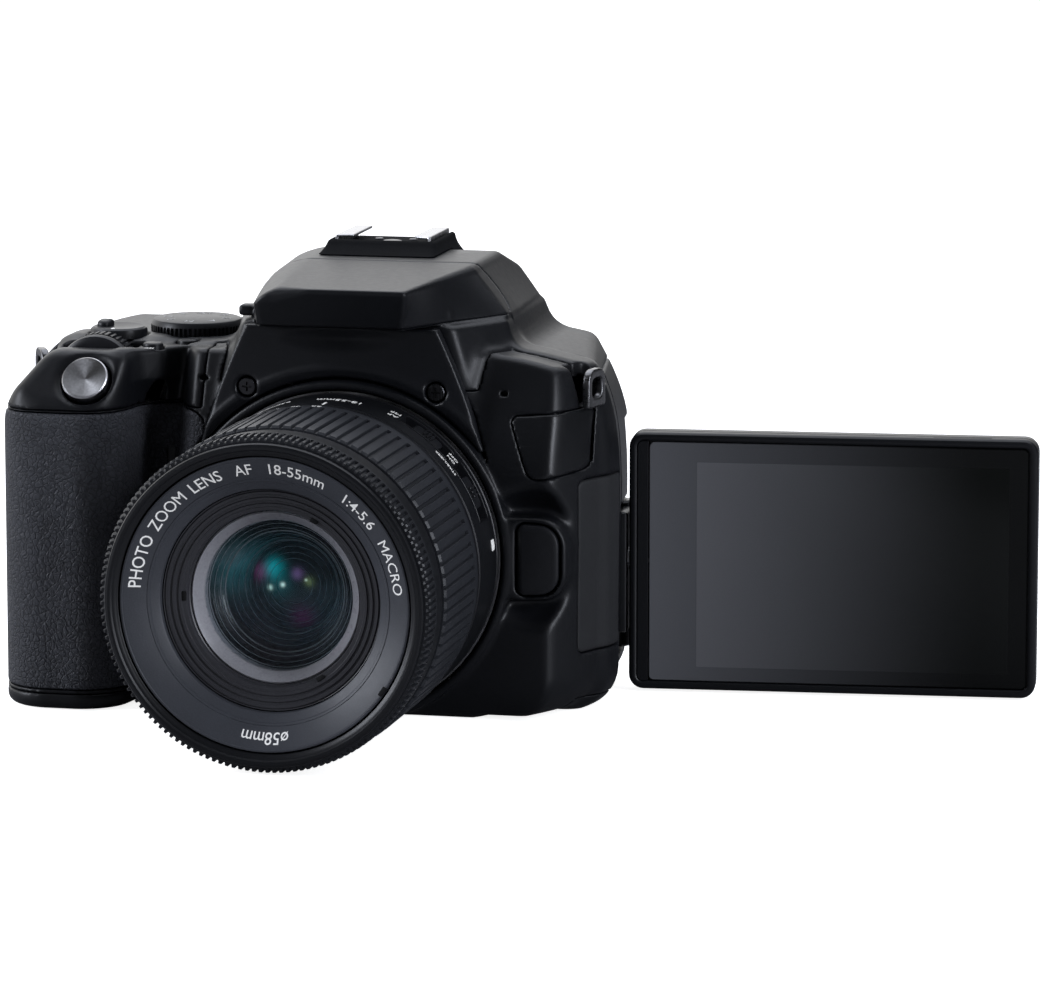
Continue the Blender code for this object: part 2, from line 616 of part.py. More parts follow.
thumb = along_y("thumb", [
    (REAR_Y + 0.3, rounded([(-66.5, 37.5, 4), (-46.5, 43.5, 4), (-47.5, 58.0, 4), (-66.5, 57.0, 4)], 3)),
    (REAR_Y + 1.4, rounded([(-66.2, 38.0, 4), (-47.0, 44.0, 4), (-48.0, 57.5, 4), (-66.0, 56.5, 4)], 3)),
    (REAR_Y + 2.2, rounded([(-64.5, 40.0, 4), (-52.0, 45.5, 4), (-52.0, 55.5, 4), (-64.5, 55.0, 4)], 3)),
])
cut(thumb, disc("clear", 3.2, 50, 62, (-45.0, 0, 52.2), "Y", 20))
dress(thumb, "thumb_rubber", RUBBER)

# ---- hot shoe ----
plinth = along_z("plinth", [
    (88.2, rounded([(-13.2, 25.4, 1.5), (13.2, 25.4, 1.5), (13.2, 53.0, 1.5), (-13.2, 53.0, 1.5)], 2)),
    (91.0, rounded([(-11.9, 31.6, 1.0), (11.9, 31.6, 1.0), (11.9, 52.4, 1.0), (-11.9, 52.4, 1.0)], 2)),
    (91.8, rounded([(-11.3, 33.6, 0.8), (11.3, 33.6, 0.8), (11.3, 52.0, 0.8), (-11.3, 52.0, 0.8)], 2)),
])
cut(plinth, box("slot", -10.3, 10.3, 34.8, 60, 89.6, 95), hump_high("seat", -GAP))
dress(plinth, "shoe_plinth", GLOSS)
rails = box("rails", -10.0, 10.0, 35.2, 52.4, 89.9, 92.6)
cut(rails, box("channel", -9.3, 9.3, 30, 60, 90.5, 92.0), box("mouth", -6.3, 6.3, 30, 60, 90.5, 95))
dress(rails, "shoe_rails", STEEL)

# ---- strap lugs ----
def lug(name, x, y, z, turn):
    ring = lathe(name, [(4.0, -0.8), (4.0, 0.8), (2.5, 0.8), (2.5, -0.8)], (x, y, z), "Y", 20, STEEL,
                 Matrix.Rotation(math.radians(turn), 3, "Z"))
    return dress(ring, name, STEEL)


lug("strap_lug_right", 48.9, 13.6, 67.0, 77.0)
lug("strap_lug_left", -66.2, 14.2, 66.6, -62.0)

# ---- mount, tripod bush, chassis and optics of the finder ----
mount_ring = lathe("mount_ring", [(32.7, 0.0), (32.7, 2.4), (MOUNT_R, 2.4), (MOUNT_R, 0.0)], (0, 0, AXIS_Z),
                   "Y", 40)
cut(mount_ring, disc("pin hole", 1.9, -3, 5, (30.0, 0, AXIS_Z), "Y", 16))
dress(mount_ring, "mount_ring", STEEL)
bush = lathe("bush", [(5.1, 0.2), (5.1, 3.4), (6.6, 3.4), (6.6, 6.2), (3.2, 6.2), (3.2, 0.2)],
             (0, TRIPOD_Y, 0), "Z", 24)
dress(bush, "tripod_socket", STEEL)

chassis = box("chassis", -28, 28, 9.3, 34.0, 8.0, 61.5)
cut(chassis, box("throat", -22, 22, 5, 40, 12.0, 56.0), box("light well", -17.5, 17.5, 11.0, 31.0, 50, 70))
join(chassis, box("foot", -20, 20, 14.0, 34.0, 6.6, 9.0))
cut(chassis, disc("bush clearance", 7.0, 5.0, 6.9, (0, TRIPOD_Y, 0), "Z", 24))
join(chassis, box("wing", -44, -27, 29.0, 33.0, 10.0, 58.0))
join(chassis, box("wing", 27, 40, 29.0, 33.0, 10.0, 58.0))
dress(chassis, "chassis", DARK_METAL)

dress(box("screen", -15.5, 15.5, 11.6, 30.4, 56.4, 57.8), "focusing_screen", GLASS)
penta = loft("penta", [
    [(x, 12.5, 62.2), (x, 46.5, 62.2), (x, 49.5, 74.0), (x, 36.0, 76.3), (x, 16.0, 72.0)]
    for x in (-16.0, 16.0)
])
dress(penta, "pentamirror", MIRROR)

mirror_len = 25.0
HINGE_Y, HINGE_Z = 31.0, 43.5
slant = mirror_len / math.sqrt(2)
mirror = loft("mirror", [
    [(x, HINGE_Y, HINGE_Z), (x, HINGE_Y - slant, HINGE_Z - slant),
     (x, HINGE_Y - slant + 0.7, HINGE_Z - slant - 0.7), (x, HINGE_Y + 0.7, HINGE_Z - 0.7)]
    for x in (-17.0, 17.0)
])
origin_at(dress(mirror, "reflex_mirror", MIRROR), 0, HINGE_Y, HINGE_Z)
SUB_Y, SUB_Z = HINGE_Y - slant / 2 + 1.6, HINGE_Z - slant / 2 - 1.6
sub = loft("sub", [
    [(x, SUB_Y - 0.25, SUB_Z - 0.25), (x, SUB_Y + 0.25, SUB_Z + 0.25),
     (x, SUB_Y + 5.7, SUB_Z - 5.2), (x, SUB_Y + 5.2, SUB_Z - 5.7)] for x in (-9.0, 9.0)
])
origin_at(dress(sub, "sub_mirror", MIRROR), 0, SUB_Y, SUB_Z)

frame = box("shutter_frame", -19, 19, 35.2, 40.6, 5.0, 46.0)
cut(frame, box("gate", -12.0, 12.0, 30, 45, AXIS_Z - 8.0, AXIS_Z + 8.0),
    box("slot", -13.4, 13.4, 37.3, 38.7, 6.6, AXIS_Z + 9.3))
dress(frame, "shutter_frame", DARK_METAL)
curtain = box("curtain", -13.0, 13.0, 37.7, 38.3, AXIS_Z - 8.9, AXIS_Z + 8.9)
origin_at(dress(curtain, "shutter_curtain", GLOSS), 0, 38.0, AXIS_Z)
dress(box("sensor", -14.0, 14.0, 44.0, 46.5, AXIS_Z - 10.5, AXIS_Z + 10.5), "image_sensor", SENSOR)
dress(box("battery", -63.8, -49.6, 4.6, 36.0, 5.4, 51.0, bevel=0.8), "battery", CELL)

door = box("door", DOOR_X0, DOOR_X1, DOOR_Y0, DOOR_Y1, 0.3, 2.0)
origin_at(dress(door, "battery_door", SHELL), DOOR_X1, (DOOR_Y0 + DOOR_Y1) / 2, 0.3)

# ---- viewfinder ----
cup_back = [(-18.0, 65.8, 5.0), (18.0, 65.8, 5.0), (18.0, 84.5, 7.0), (-18.0, 84.5, 7.0)]
cup = along_y("cup", [
    (REAR_Y + 0.3, rounded(inset(cup_back, 1.2), 3)), (REAR_Y + 1.0, rounded(cup_back, 3)),
    (REAR_Y + 3.4, rounded(cup_back, 3)), (REAR_Y + 4.3, rounded(inset(cup_back, 1.2), 3)),
])
window = [(-10.6, 69.2, 2.0), (10.6, 69.2, 2.0), (10.6, 80.8, 2.0), (-10.6, 80.8, 2.0)]
cut(cup, prism_y("opening", rounded(window, 3), 50, 70))
dress(cup, "eyecup", RUBBER)
dress(prism_y("lens", rounded(inset(window, 0.4), 3), 53.0, 55.0), "eyepiece_lens", GLASS)
dioptre = lathe("dioptre", [(0, 55.0), (3.0, 55.0), (3.0, 58.6), (2.6, 59.0), (0, 59.0)], (-22.6, 0, 75.5), "Y", 24)
cut(top_cover, disc("hole", 3.3, 50, 62, (-22.6, 0, 75.5), "Y", 24))
origin_at(dress(dioptre, "diopter_dial", SHELL), -22.6, 57.0, 75.5)
dress(top_cover, "top_cover", SHELL)

# ---- flash head ----
flash = keep_inside(hump_high("flash"), flash_zone("zone", 0.0))
hollow = hump_high("hollow", WALL)
cut(hollow, box("rear", -60, 60, FLASH_AXIS_Y - 7.0, 80, 60, 120))
cut(flash, hollow)
lamp = box("lamp", -11.0, 11.0, -5.0, 5.0, FLASH_LIP_Z + 0.5, 86.2)
origin_at(dress(join(flash, lamp), "flash_head", SHELL), 0, FLASH_AXIS_Y, FLASH_AXIS_Z)

# ---- controls on top ----
def knurled(name, radius, h0, h1, centre, axis, teeth, depth, look, crown=0.0, rim=0.0):
    """Dial whose side is cut into teeth."""
    bm = bmesh.new()
    rows = []
    levels = [(h0, 0.0), (h1, 0.0)]
    if rim:
        levels = [(h0, rim), (h0 + rim, 0.0), (h1 - rim, 0.0), (h1, rim)]
    for height, back in levels:
        row = []
        for k in range(teeth * 2):
            a = 2 * math.pi * (k + 0.5) / (teeth * 2)
            r = radius - back - (depth if k % 4 >= 2 else 0.0)
            u, v = r * math.cos(a), r * math.sin(a)
            p = (u, height, v) if axis == "Y" else (u, v, height)
            row.append(bm.verts.new(to_world(*(Vector(p) + Vector(centre)))))
        rows.append(row)
    count = teeth * 2
    for low, high in zip(rows, rows[1:]):
        for k in range(count):
            j = (k + 1) % count
            bm.faces.new((low[k], low[j], high[j], high[k]))
    bm.faces.new(rows[0])
    bm.faces.new(rows[-1])
    return dress(finish(name, bm, look), name, look)


mode = knurled("mode_dial", MODE_R, TOP_Z + 0.35, 75.8, (MODE_X, MODE_Y, 0), "Z", 30, 0.35, SHELL, rim=0.4)
origin_at(mode, MODE_X, MODE_Y, 74.0)
dial = knurled("main_dial", DIAL_R, DIAL_Y0, DIAL_Y1, (DIAL_X, 0, DIAL_Z), "Y", 30, 0.5, SHELL, rim=0.5)
origin_at(dial, DIAL_X, (DIAL_Y0 + DIAL_Y1) / 2, DIAL_Z)
power = lathe("power", [(0, TOP_Z + 0.35), (POWER_R, TOP_Z + 0.35), (POWER_R, 74.6), (POWER_R - 0.6, 75.2), (0, 75.2)],
              (POWER_X, POWER_Y, 0), "Z", 28)
join(power, box("tab", POWER_X - 4.6, POWER_X - 1.2, POWER_Y - 1.6, POWER_Y + 4.0, 74.0, 76.6, bevel=0.5))
origin_at(dress(power, "power_switch", SHELL), POWER_X, POWER_Y, 74.0)
shutter = disc("shutter", SHUTTER_R, -3.2, 1.0, (SHUTTER_X, SHUTTER_Y, SHUTTER_Z), "Z", 28, STEEL, 0.5, tilt)
origin_at(dress(shutter, "shutter_button", DARK_METAL), SHUTTER_X, SHUTTER_Y, SHUTTER_Z)
for label, x, y in TOP_BUTTONS:
    button = disc(label, 2.1, TOP_Z - 3.4, TOP_Z + 0.8, (x, y, 0), "Z", 16, SHELL, 0.3)
    origin_at(dress(button, label, SHELL), x, y, TOP_Z)

# ---- controls on the back ----
for label, x, z, radius in REAR_BUTTONS:
    button = disc(label, radius, REAR_Y - 2.8, REAR_Y + 1.0, (x, 0, z), "Y", 16, SHELL, 0.3)
    origin_at(dress(button, label, SHELL), x, REAR_Y, z)
pad = lathe("pad", [(8.8, REAR_Y - 2.6), (8.8, REAR_Y + 0.4), (8.2, REAR_Y + 0.9), (4.6, REAR_Y + 0.5),
                    (4.2, REAR_Y + 0.1), (4.2, REAR_Y - 2.6)][::-1], (PAD_X, 0, PAD_Z), "Y", 32)
origin_at(dress(pad, "control_pad", SHELL), PAD_X, REAR_Y, PAD_Z)
button = disc("set", 3.85, REAR_Y - 2.6, REAR_Y + 0.9, (PAD_X, 0, PAD_Z), "Y", 24, SHELL, 0.3)
origin_at(dress(button, "set_button", SHELL), PAD_X, REAR_Y, PAD_Z)

# ---- lens release ----
release = along_y("release", [
    (5.2, rounded(inset([(36.2, 40.3, 1.5), (36.2, 25.9, 1.5), (44.6, 26.4, 4.0), (44.6, 39.9, 4.0)], 0.0), 3)),
    (-0.3, release_outline(0.0)), (-0.9, release_outline(-0.6)),
])
origin_at(dress(release, "lens_release_button", SHELL), 40.4, 0, AXIS_Z)
pin = disc("pin", 1.5, 7.0, -1.3, (30.0, 0, AXIS_Z), "Y", 16, STEEL, 0.3)
origin_at(dress(pin, "lens_lock_pin", STEEL), 30.0, 0, AXIS_Z)

# ---- screen: built in its own frame (u along the panel, v through it), then turned to its open place ----
def from_panel(obj, name, look):
    turn = Matrix.Rotation(math.radians(SCREEN_OPEN_DEG), 4, "Z")
    pivot = to_world(SWING_X, SWING_Y, 0)
    obj.data.transform(Matrix.Translation(pivot) @ turn @ Matrix.Translation(-pivot))
    return dress(obj, name, look)


U0, U1 = SWING_X + SCREEN_EDGE, SWING_X + SCREEN_EDGE + SCREEN_W
V0, V1 = SWING_Y + SCREEN_FACE, SWING_Y + SCREEN_FACE + SCREEN_T
panel = [(U0, SCREEN_LOW, 3.0), (U1, SCREEN_LOW, 3.0), (U1, SCREEN_LOW + SCREEN_H, 3.0),
         (U0, SCREEN_LOW + SCREEN_H, 3.0)]
housing = along_y("housing", [
    (V0, rounded(inset(panel, 0.7), 3)), (V0 + 0.7, rounded(panel, 3)), (V1 - 1.2, rounded(panel, 3)),
    (V1, rounded(inset(panel, 1.4), 3)),
])
cut(housing, prism_y("glass bed", rounded(inset(panel, 1.7), 3), V0 - 5, V0 + 1.5))
cut(housing, disc("bore", 2.8, -5.0, 8.4, (U0, (V0 + V1) / 2, SWIVEL_Z), "X", 20))
housing_obj = from_panel(housing, "lcd_housing", SHELL)
glass = from_panel(prism_y("glass", rounded(inset(panel, 2.0), 3), V0 + 0.2, V0 + 1.2), "lcd_glass", SCREEN_GLASS)
arm = disc("arm", 2.9, 7.6, 38.0, (SWING_X, SWING_Y, 0), "Z", 24)
join(arm, box("web", SWING_X - 0.6, SWING_X + 2.9, V0 + 0.4, SWING_Y, 12.0, 37.0))
join(arm, disc("pin", 2.4, -3.0, 7.8, (U0, (V0 + V1) / 2, SWIVEL_Z), "X", 20))
arm_obj = origin_at(from_panel(arm, "lcd_arm", SHELL), SWING_X, SWING_Y, SWIVEL_Z)
open_turn = Matrix.Rotation(math.radians(SCREEN_OPEN_DEG), 3, "Z")
swivel = Vector((SWING_X, SWING_Y, 0)) + open_turn @ Vector((SCREEN_EDGE, SCREEN_FACE + SCREEN_T / 2, 0))
origin_at(housing_obj, swivel.x, swivel.y, SWIVEL_Z)
origin_at(glass, swivel.x, swivel.y, SWIVEL_Z)

# ---- lens ----
LENS = (0, 0, AXIS_Z)
barrel = lathe("barrel", [
    (26.3, 4.6), (24.8, 4.6), (24.8, -2.0), (27.6, -2.6), (27.6, -44.5), (29.8, -44.5), (29.8, -21.6),
    (LENS_R, -21.6), (LENS_R, -0.9), (LENS_R - 0.6, -0.3), (26.3, -0.3),
], LENS, "Y", 40)
cut(barrel, disc("lock pocket", 2.0, -2.6, 1.0, (30.0, 0, AXIS_Z), "Y", 16))


def on_barrel(angle):
    return Matrix.Rotation(math.radians(90.0 - angle), 4, "Y")


def side_box(name, angle, y0, y1, half, low, high):
    """Box on the barrel at an angle round the lens axis, tangential half width, low to high radius."""
    obj = box(name, -half, half, y0, y1, AXIS_Z + low, AXIS_Z + high)
    centre = to_world(0, 0, AXIS_Z)
    obj.data.transform(Matrix.Translation(centre) @ on_barrel(angle) @ Matrix.Translation(-centre))
    return obj


SWITCHES = (("af_switch", 52.0), ("stabiliser_switch", 27.0))
for label, angle in SWITCHES:
    cut(barrel, side_box("switch bed", angle, -10.7, -4.7, 5.6, 30.4, 36.0))
dress(barrel, "lens_barrel", LENS_BLACK)
for label, angle in SWITCHES:
    slider = side_box(label, angle, -10.3, -5.1, 3.2, 30.8, 32.3)
    join(slider, side_box("grip", angle, -8.6, -6.8, 2.6, 32.0, 32.9))
    dress(slider, label, SHELL)
    reach = Vector((math.cos(math.radians(angle)), 0, math.sin(math.radians(angle)))) * 31.5
    origin_at(slider, reach.x, -7.7, AXIS_Z + reach.z)

zoom = lathe("zoom", [
    (30.2, -46.9), (30.2, -22.0), (ZOOM_R - 0.5, -22.0), (ZOOM_R, -22.6), (ZOOM_R, -46.3), (ZOOM_R - 0.5, -46.9),
][::-1], LENS, "Y", 48)
origin_at(dress(zoom, "zoom_ring", RING_RUBBER), 0, -34.5, AXIS_Z)
front_barrel = lathe("front", [
    (29.9, -47.3), (LENS_R - 0.2, -47.3), (LENS_R - 0.2, -52.8), (30.6, -52.8), (30.6, -59.0),
    (32.2, -59.0), (32.2, -59.6), (31.4, LENS_FRONT), (29.2, LENS_FRONT), (28.5, -59.4), (28.5, -56.4),
    (27.3, -56.0), (20.0, -54.2), (20.0, -52.6), (17.6, -52.2), (17.6, -50.6), (14.4, -50.0),
    (14.4, -41.0), (12.6, -41.0), (12.6, -38.5), (24.2, -38.5), (24.2, -16.0), (27.2, -16.0), (27.2, -47.3),
], LENS, "Y", 40)
origin_at(dress(front_barrel, "front_barrel", LENS_BLACK), 0, -50.0, AXIS_Z)
focus = knurled("focus_ring", FOCUS_R, -58.7, -53.1, LENS, "Y", 40, 0.3, LENS_BLACK, rim=0.3)
cut(focus, disc("bore", 30.9, -70, -40, LENS, "Y", 40))
origin_at(dress(focus, "focus_ring", LENS_BLACK), 0, -56.0, AXIS_Z)
element = lathe("element", [
    (0, -51.2), (5.0, -50.9), (9.6, -50.1), (14.0, -48.6), (14.0, -46.0), (0, -46.0),
], LENS, "Y", 36)
dress(element, "front_element", GLASS)


# ---- parents carry the pieces that ride on a moving piece ----
def ride(child, parent):
    world = child.matrix_world.copy() if child.parent else Matrix.Translation(child.location)
    child.parent = parent
    child.matrix_parent_inverse = Matrix.Translation(-parent.location)
    return child


def root_empty():
    empty = bpy.data.objects.new("camera", None)
    bpy.context.scene.collection.objects.link(empty)
    return empty


PARENTS = {
    "lcd_housing": "lcd_arm", "lcd_glass": "lcd_housing", "front_element": "front_barrel",
    "focus_ring": "front_barrel", "sub_mirror": "reflex_mirror",
}
root = root_empty()
absolute = {obj.name: obj.location.copy() for obj in bpy.data.objects}
for obj in list(bpy.data.objects):
    if obj is root:
        continue
    owner = bpy.data.objects[PARENTS[obj.name]] if obj.name in PARENTS else root
    obj.parent = owner
    obj.location = absolute[obj.name] - absolute[owner.name]
bpy.context.view_layer.update()
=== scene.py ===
"""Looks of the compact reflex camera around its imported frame.

Design lengths are millimetres with y measured from the lens mount flange; meshes are metres in the row frame.
The moulded covers are modelled as signed distance fields, so that every corner carries a real fillet.
"""

import bpy
import bmesh
import json
import math
import numpy as np
import openvdb
from mathutils import Matrix, Vector

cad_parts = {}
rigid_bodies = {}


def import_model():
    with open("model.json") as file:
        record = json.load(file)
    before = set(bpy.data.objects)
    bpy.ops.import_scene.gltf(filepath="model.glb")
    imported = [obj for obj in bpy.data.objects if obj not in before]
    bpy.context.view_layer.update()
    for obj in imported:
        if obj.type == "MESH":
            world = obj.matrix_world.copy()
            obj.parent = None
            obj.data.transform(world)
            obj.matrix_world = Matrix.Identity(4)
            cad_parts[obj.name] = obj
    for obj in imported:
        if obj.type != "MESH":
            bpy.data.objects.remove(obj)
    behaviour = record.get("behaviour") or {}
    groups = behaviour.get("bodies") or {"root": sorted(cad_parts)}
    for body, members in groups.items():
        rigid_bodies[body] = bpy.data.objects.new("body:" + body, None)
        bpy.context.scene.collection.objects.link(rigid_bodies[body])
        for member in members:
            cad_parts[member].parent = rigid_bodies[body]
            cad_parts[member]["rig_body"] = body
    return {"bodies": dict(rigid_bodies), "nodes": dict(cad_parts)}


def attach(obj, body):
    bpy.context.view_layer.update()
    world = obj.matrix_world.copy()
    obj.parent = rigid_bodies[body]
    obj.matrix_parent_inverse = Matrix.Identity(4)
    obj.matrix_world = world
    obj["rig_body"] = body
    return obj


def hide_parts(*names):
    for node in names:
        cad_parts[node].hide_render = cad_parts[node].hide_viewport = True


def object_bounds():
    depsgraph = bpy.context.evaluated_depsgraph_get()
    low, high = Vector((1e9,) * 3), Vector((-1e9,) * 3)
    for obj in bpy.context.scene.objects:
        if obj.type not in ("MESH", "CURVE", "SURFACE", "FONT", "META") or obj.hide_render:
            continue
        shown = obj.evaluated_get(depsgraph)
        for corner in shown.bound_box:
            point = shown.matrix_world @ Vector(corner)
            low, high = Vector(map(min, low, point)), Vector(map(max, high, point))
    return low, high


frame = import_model()
cad_box = [list(c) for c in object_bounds()]
node = frame["nodes"]

MM = 0.001
FLANGE = 44.0
AXIS_Z = 33.0
PITCH = 0.45
WALL = 2.4
SEAM = 0.07
TOP_Z = 72.2
FRONT_Y, REAR_Y = 15.0, 57.5
BOSS_R = 34.8
f32 = np.float32


# ------------------------------------------------------------------ materials
class Look:
    """A Principled material built from nodes."""

    def __init__(self, name):
        self.mat = bpy.data.materials.new(name)
        self.mat.use_nodes = True
        self.tree = self.mat.node_tree
        self.bsdf = self.tree.nodes["Principled BSDF"]
        self.place = self.add("ShaderNodeTexCoord").outputs["Object"]

    def add(self, kind, settings=None, **inputs):
        item = self.tree.nodes.new(kind)
        for key, value in (settings or {}).items():
            setattr(item, key, value)
        for key, value in inputs.items():
            socket = item.inputs[int(key[1:])] if key[0] == "_" else item.inputs[key]
            self.feed(socket, value)
        return item

    def feed(self, socket, value):
        if isinstance(value, bpy.types.NodeSocket):
            self.tree.links.new(value, socket)
        else:
            socket.default_value = value

    def set(self, **inputs):
        for key, value in inputs.items():
            self.feed(self.bsdf.inputs[key.replace("_", " ")], value)
        return self

    def noise(self, size_mm, detail=2.0, rough=0.5, vector=None):
        """Noise texture whose features are about size_mm across."""
        return self.add("ShaderNodeTexNoise", Vector=vector or self.place, Scale=1000.0 / size_mm,
                        Detail=detail, Roughness=rough).outputs["Fac"]

    def span(self, value, low, high, start=0.3, end=0.7):
        item = self.add("ShaderNodeMapRange", Value=value)
        for key, number in (("From Min", start), ("From Max", end), ("To Min", low), ("To Max", high)):
            item.inputs[key].default_value = number
        return item.outputs["Result"]

    def mix(self, factor, a, b):
        item = self.add("ShaderNodeMix", {"data_type": "RGBA"}, Factor=factor)
        self.feed(item.inputs[6], a)
        self.feed(item.inputs[7], b)
        return item.outputs[2]

    def maths(self, kind, a, b=0.0):
        item = self.add("ShaderNodeMath", {"operation": kind})
        self.feed(item.inputs[0], a)
        self.feed(item.inputs[1], b)
        return item.outputs[0]

    def bump(self, height, strength, distance_mm, normal=None):
        item = self.add("ShaderNodeBump", Height=height, Strength=strength, Distance=distance_mm * MM)
        if normal:
            self.feed(item.inputs["Normal"], normal)
        return item.outputs["Normal"]


def shade(colour, factor):
    return (*[min(c * factor, 1.0) for c in colour], 1.0)


def plastic(name, colour, rough, grain=0.35, depth=0.25, spread=0.08, coat=0.0, gleam=0.32):
    """Moulded plastic: fine spark-eroded grain, faint cloudiness, uneven sheen."""
    look = Look(name)
    cloud = look.noise(9.0, 3.0)
    fine = look.noise(grain, 1.5)
    tint = look.mix(look.span(cloud, 0.0, 1.0), shade(colour, 1 - spread), shade(colour, 1 + spread))
    tint = look.mix(look.span(fine, 0.0, 0.35, 0.35, 0.75), tint, shade(colour, 1.5))
    handled = look.span(look.noise(1.2, 2.0), rough - 0.015, rough + 0.02)
    look.set(Base_Color=tint, Roughness=handled, Specular_IOR_Level=gleam, Coat_Weight=coat, Coat_Roughness=0.2,
             Normal=look.bump(fine, depth, 0.06))
    return look.mat


def leather(name, colour, rough, cell=1.15, depth=0.85):
    """Rubber with an embossed leather pattern: pebbles parted by wandering creases."""
    look = Look(name)
    drift = look.add("ShaderNodeTexNoise", Vector=look.place, Scale=420.0, Detail=3.0)
    shift = look.add("ShaderNodeVectorMath", {"operation": "MULTIPLY_ADD"}, _0=drift.outputs["Color"],
                     _1=(0.0016, 0.0016, 0.0016), _2=look.place)
    crease = look.add("ShaderNodeTexVoronoi", {"feature": "DISTANCE_TO_EDGE"}, Vector=shift.outputs[0],
                      Scale=1000.0 / cell, Randomness=1.0).outputs["Distance"]
    small = look.add("ShaderNodeTexVoronoi", {"feature": "DISTANCE_TO_EDGE"}, Vector=shift.outputs[0],
                     Scale=2400.0 / cell, Randomness=1.0).outputs["Distance"]
    pebble = look.span(crease, 0.0, 1.0, 0.0, 0.16)
    minor = look.span(small, 0.55, 1.0, 0.0, 0.12)
    height = look.maths("MULTIPLY", pebble, minor)
    fine = look.noise(0.22, 2.0)
    # the colour follows the relief: creases painted darker as shade, pebble tops painted lighter
    tint = look.mix(height, shade(colour, 0.45), shade(colour, 1.15))
    tint = look.mix(look.span(look.noise(6.0), 0.0, 0.4), tint, shade(colour, 1.4))
    look.set(Base_Color=tint, Roughness=look.span(fine, rough - 0.08, rough + 0.1), Specular_IOR_Level=0.35,
             Normal=look.bump(height, depth, 0.22, look.bump(fine, 0.2, 0.05)))
    return look.mat


def metal(name, colour, rough, grain=(0.15, 6.0, 6.0), depth=0.12):
    """Metal with a brushed grain that is short across the brushing and long along it."""
    look = Look(name)
    stretch = look.add("ShaderNodeVectorMath", {"operation": "DIVIDE"}, _0=look.place,
                       _1=tuple(g * MM for g in grain))
    lines = look.add("ShaderNodeTexNoise", Vector=stretch.outputs[0], Scale=1.0, Detail=3.0).outputs["Fac"]
    tint = look.mix(look.span(lines, 0.0, 1.0), shade(colour, 0.8), shade(colour, 1.12))
    look.set(Base_Color=tint, Metallic=1.0, Roughness=look.span(lines, rough - 0.07, rough + 0.1),
             Normal=look.bump(lines, depth, 0.03))
    return look.mat


def spun_metal(name, colour, rough, centre, axis):
    """Metal turned on a lathe: fine circular grooves about a centre, with streaked reflections."""
    look = Look(name)
    arm = look.add("ShaderNodeVectorMath", {"operation": "SUBTRACT"}, _0=look.place, _1=centre).outputs[0]
    cross = look.add("ShaderNodeVectorMath", {"operation": "CROSS_PRODUCT"}, _0=arm, _1=axis).outputs[0]
    reach = look.add("ShaderNodeVectorMath", {"operation": "LENGTH"}, _0=cross).outputs["Value"]
    rings = look.maths("SINE", look.maths("MULTIPLY", reach, 2 * math.pi / (0.16 * MM)))
    mottle = look.noise(0.5, 2.0)
    tangent = look.add("ShaderNodeVectorMath", {"operation": "NORMALIZE"}, _0=cross).outputs[0]
    tint = look.mix(look.span(mottle, 0.0, 1.0), shade(colour, 0.85), shade(colour, 1.1))
    look.set(Base_Color=tint, Metallic=1.0, Roughness=rough, Anisotropic=0.85, Tangent=tangent,
             Normal=look.bump(rings, 0.15, 0.01))
    return look.mat


def paint(name, colour, rough=0.5, glow=0.0):
    """Printed marking ink with a slight unevenness; glow makes the ink emit, a painted brightness."""
    look = Look(name)
    blot = look.noise(0.5, 3.0)
    look.set(Base_Color=look.mix(look.span(blot, 0.0, 1.0), shade(colour, 0.88), shade(colour, 1.0)),
             Roughness=look.span(blot, rough - 0.08, rough + 0.08), Emission_Color=(*colour, 1.0),
             Emission_Strength=glow)
    return look.mat


def coated_glass(name, face, rim, sheen=0.10, rough=0.02):
    """Clear optical glass with an anti-reflection coating whose tint moves with the viewing angle."""
    look = Look(name)
    facing = look.add("ShaderNodeLayerWeight", Blend=0.5).outputs["Facing"]
    smear = look.noise(14.0, 3.0)
    film = look.mix(look.span(facing, 0.0, 1.0, 0.0, 0.5), (*face, 1.0), (*rim, 1.0))
    film = look.mix(look.span(smear, 0.0, 0.35), film, (*rim, 1.0))
    gloss = look.add("ShaderNodeBsdfGlossy", Color=film, Roughness=rough)
    clear_part = look.add("ShaderNodeBsdfTransparent", Color=(0.94, 0.97, 0.98, 1.0))
    share = look.span(facing, sheen, min(sheen * 4, 1.0), 0.1, 0.9)
    blend = look.add("ShaderNodeMixShader", _0=share, _1=clear_part.outputs[0], _2=gloss.outputs[0])
    out = look.tree.nodes["Material Output"]
    look.tree.links.new(blend.outputs[0], out.inputs["Surface"])
    return look.mat


def deep_optics(name, centre, glows):
    """Coated elements deep in a lens, painted as emission: tinted glow spots and pin-point highlights over black stand
    in for the coatings' reflections.
    """
    look = Look(name)
    total = (0.0, 0.0, 0.0, 1.0)
    for right, up, reach, colour in glows:
        spot = (centre[0] + right * MM, centre[1], centre[2] + up * MM)
        arm = look.add("ShaderNodeVectorMath", {"operation": "SUBTRACT"}, _0=look.place, _1=spot).outputs[0]
        far = look.add("ShaderNodeVectorMath", {"operation": "LENGTH"}, _0=arm).outputs["Value"]
        ratio = look.maths("DIVIDE", far, reach * MM)
        power = look.maths("POWER", 2.718, look.maths("MULTIPLY", look.maths("MULTIPLY", ratio, ratio), -1.0))
        item = look.add("ShaderNodeMix", {"data_type": "RGBA", "blend_type": "ADD"}, Factor=power)
        look.feed(item.inputs[6], total)
        look.feed(item.inputs[7], (*colour, 1.0))
        total = item.outputs[2]
    # noise mottles the strength of the painted glow
    painted_glow_mottle = look.span(look.noise(3.0, 3.0), 0.8, 1.15)
    look.set(Base_Color=(0.004, 0.004, 0.005, 1.0), Roughness=0.22, Specular_IOR_Level=0.3,
             Emission_Color=total, Emission_Strength=painted_glow_mottle)
    return look.mat


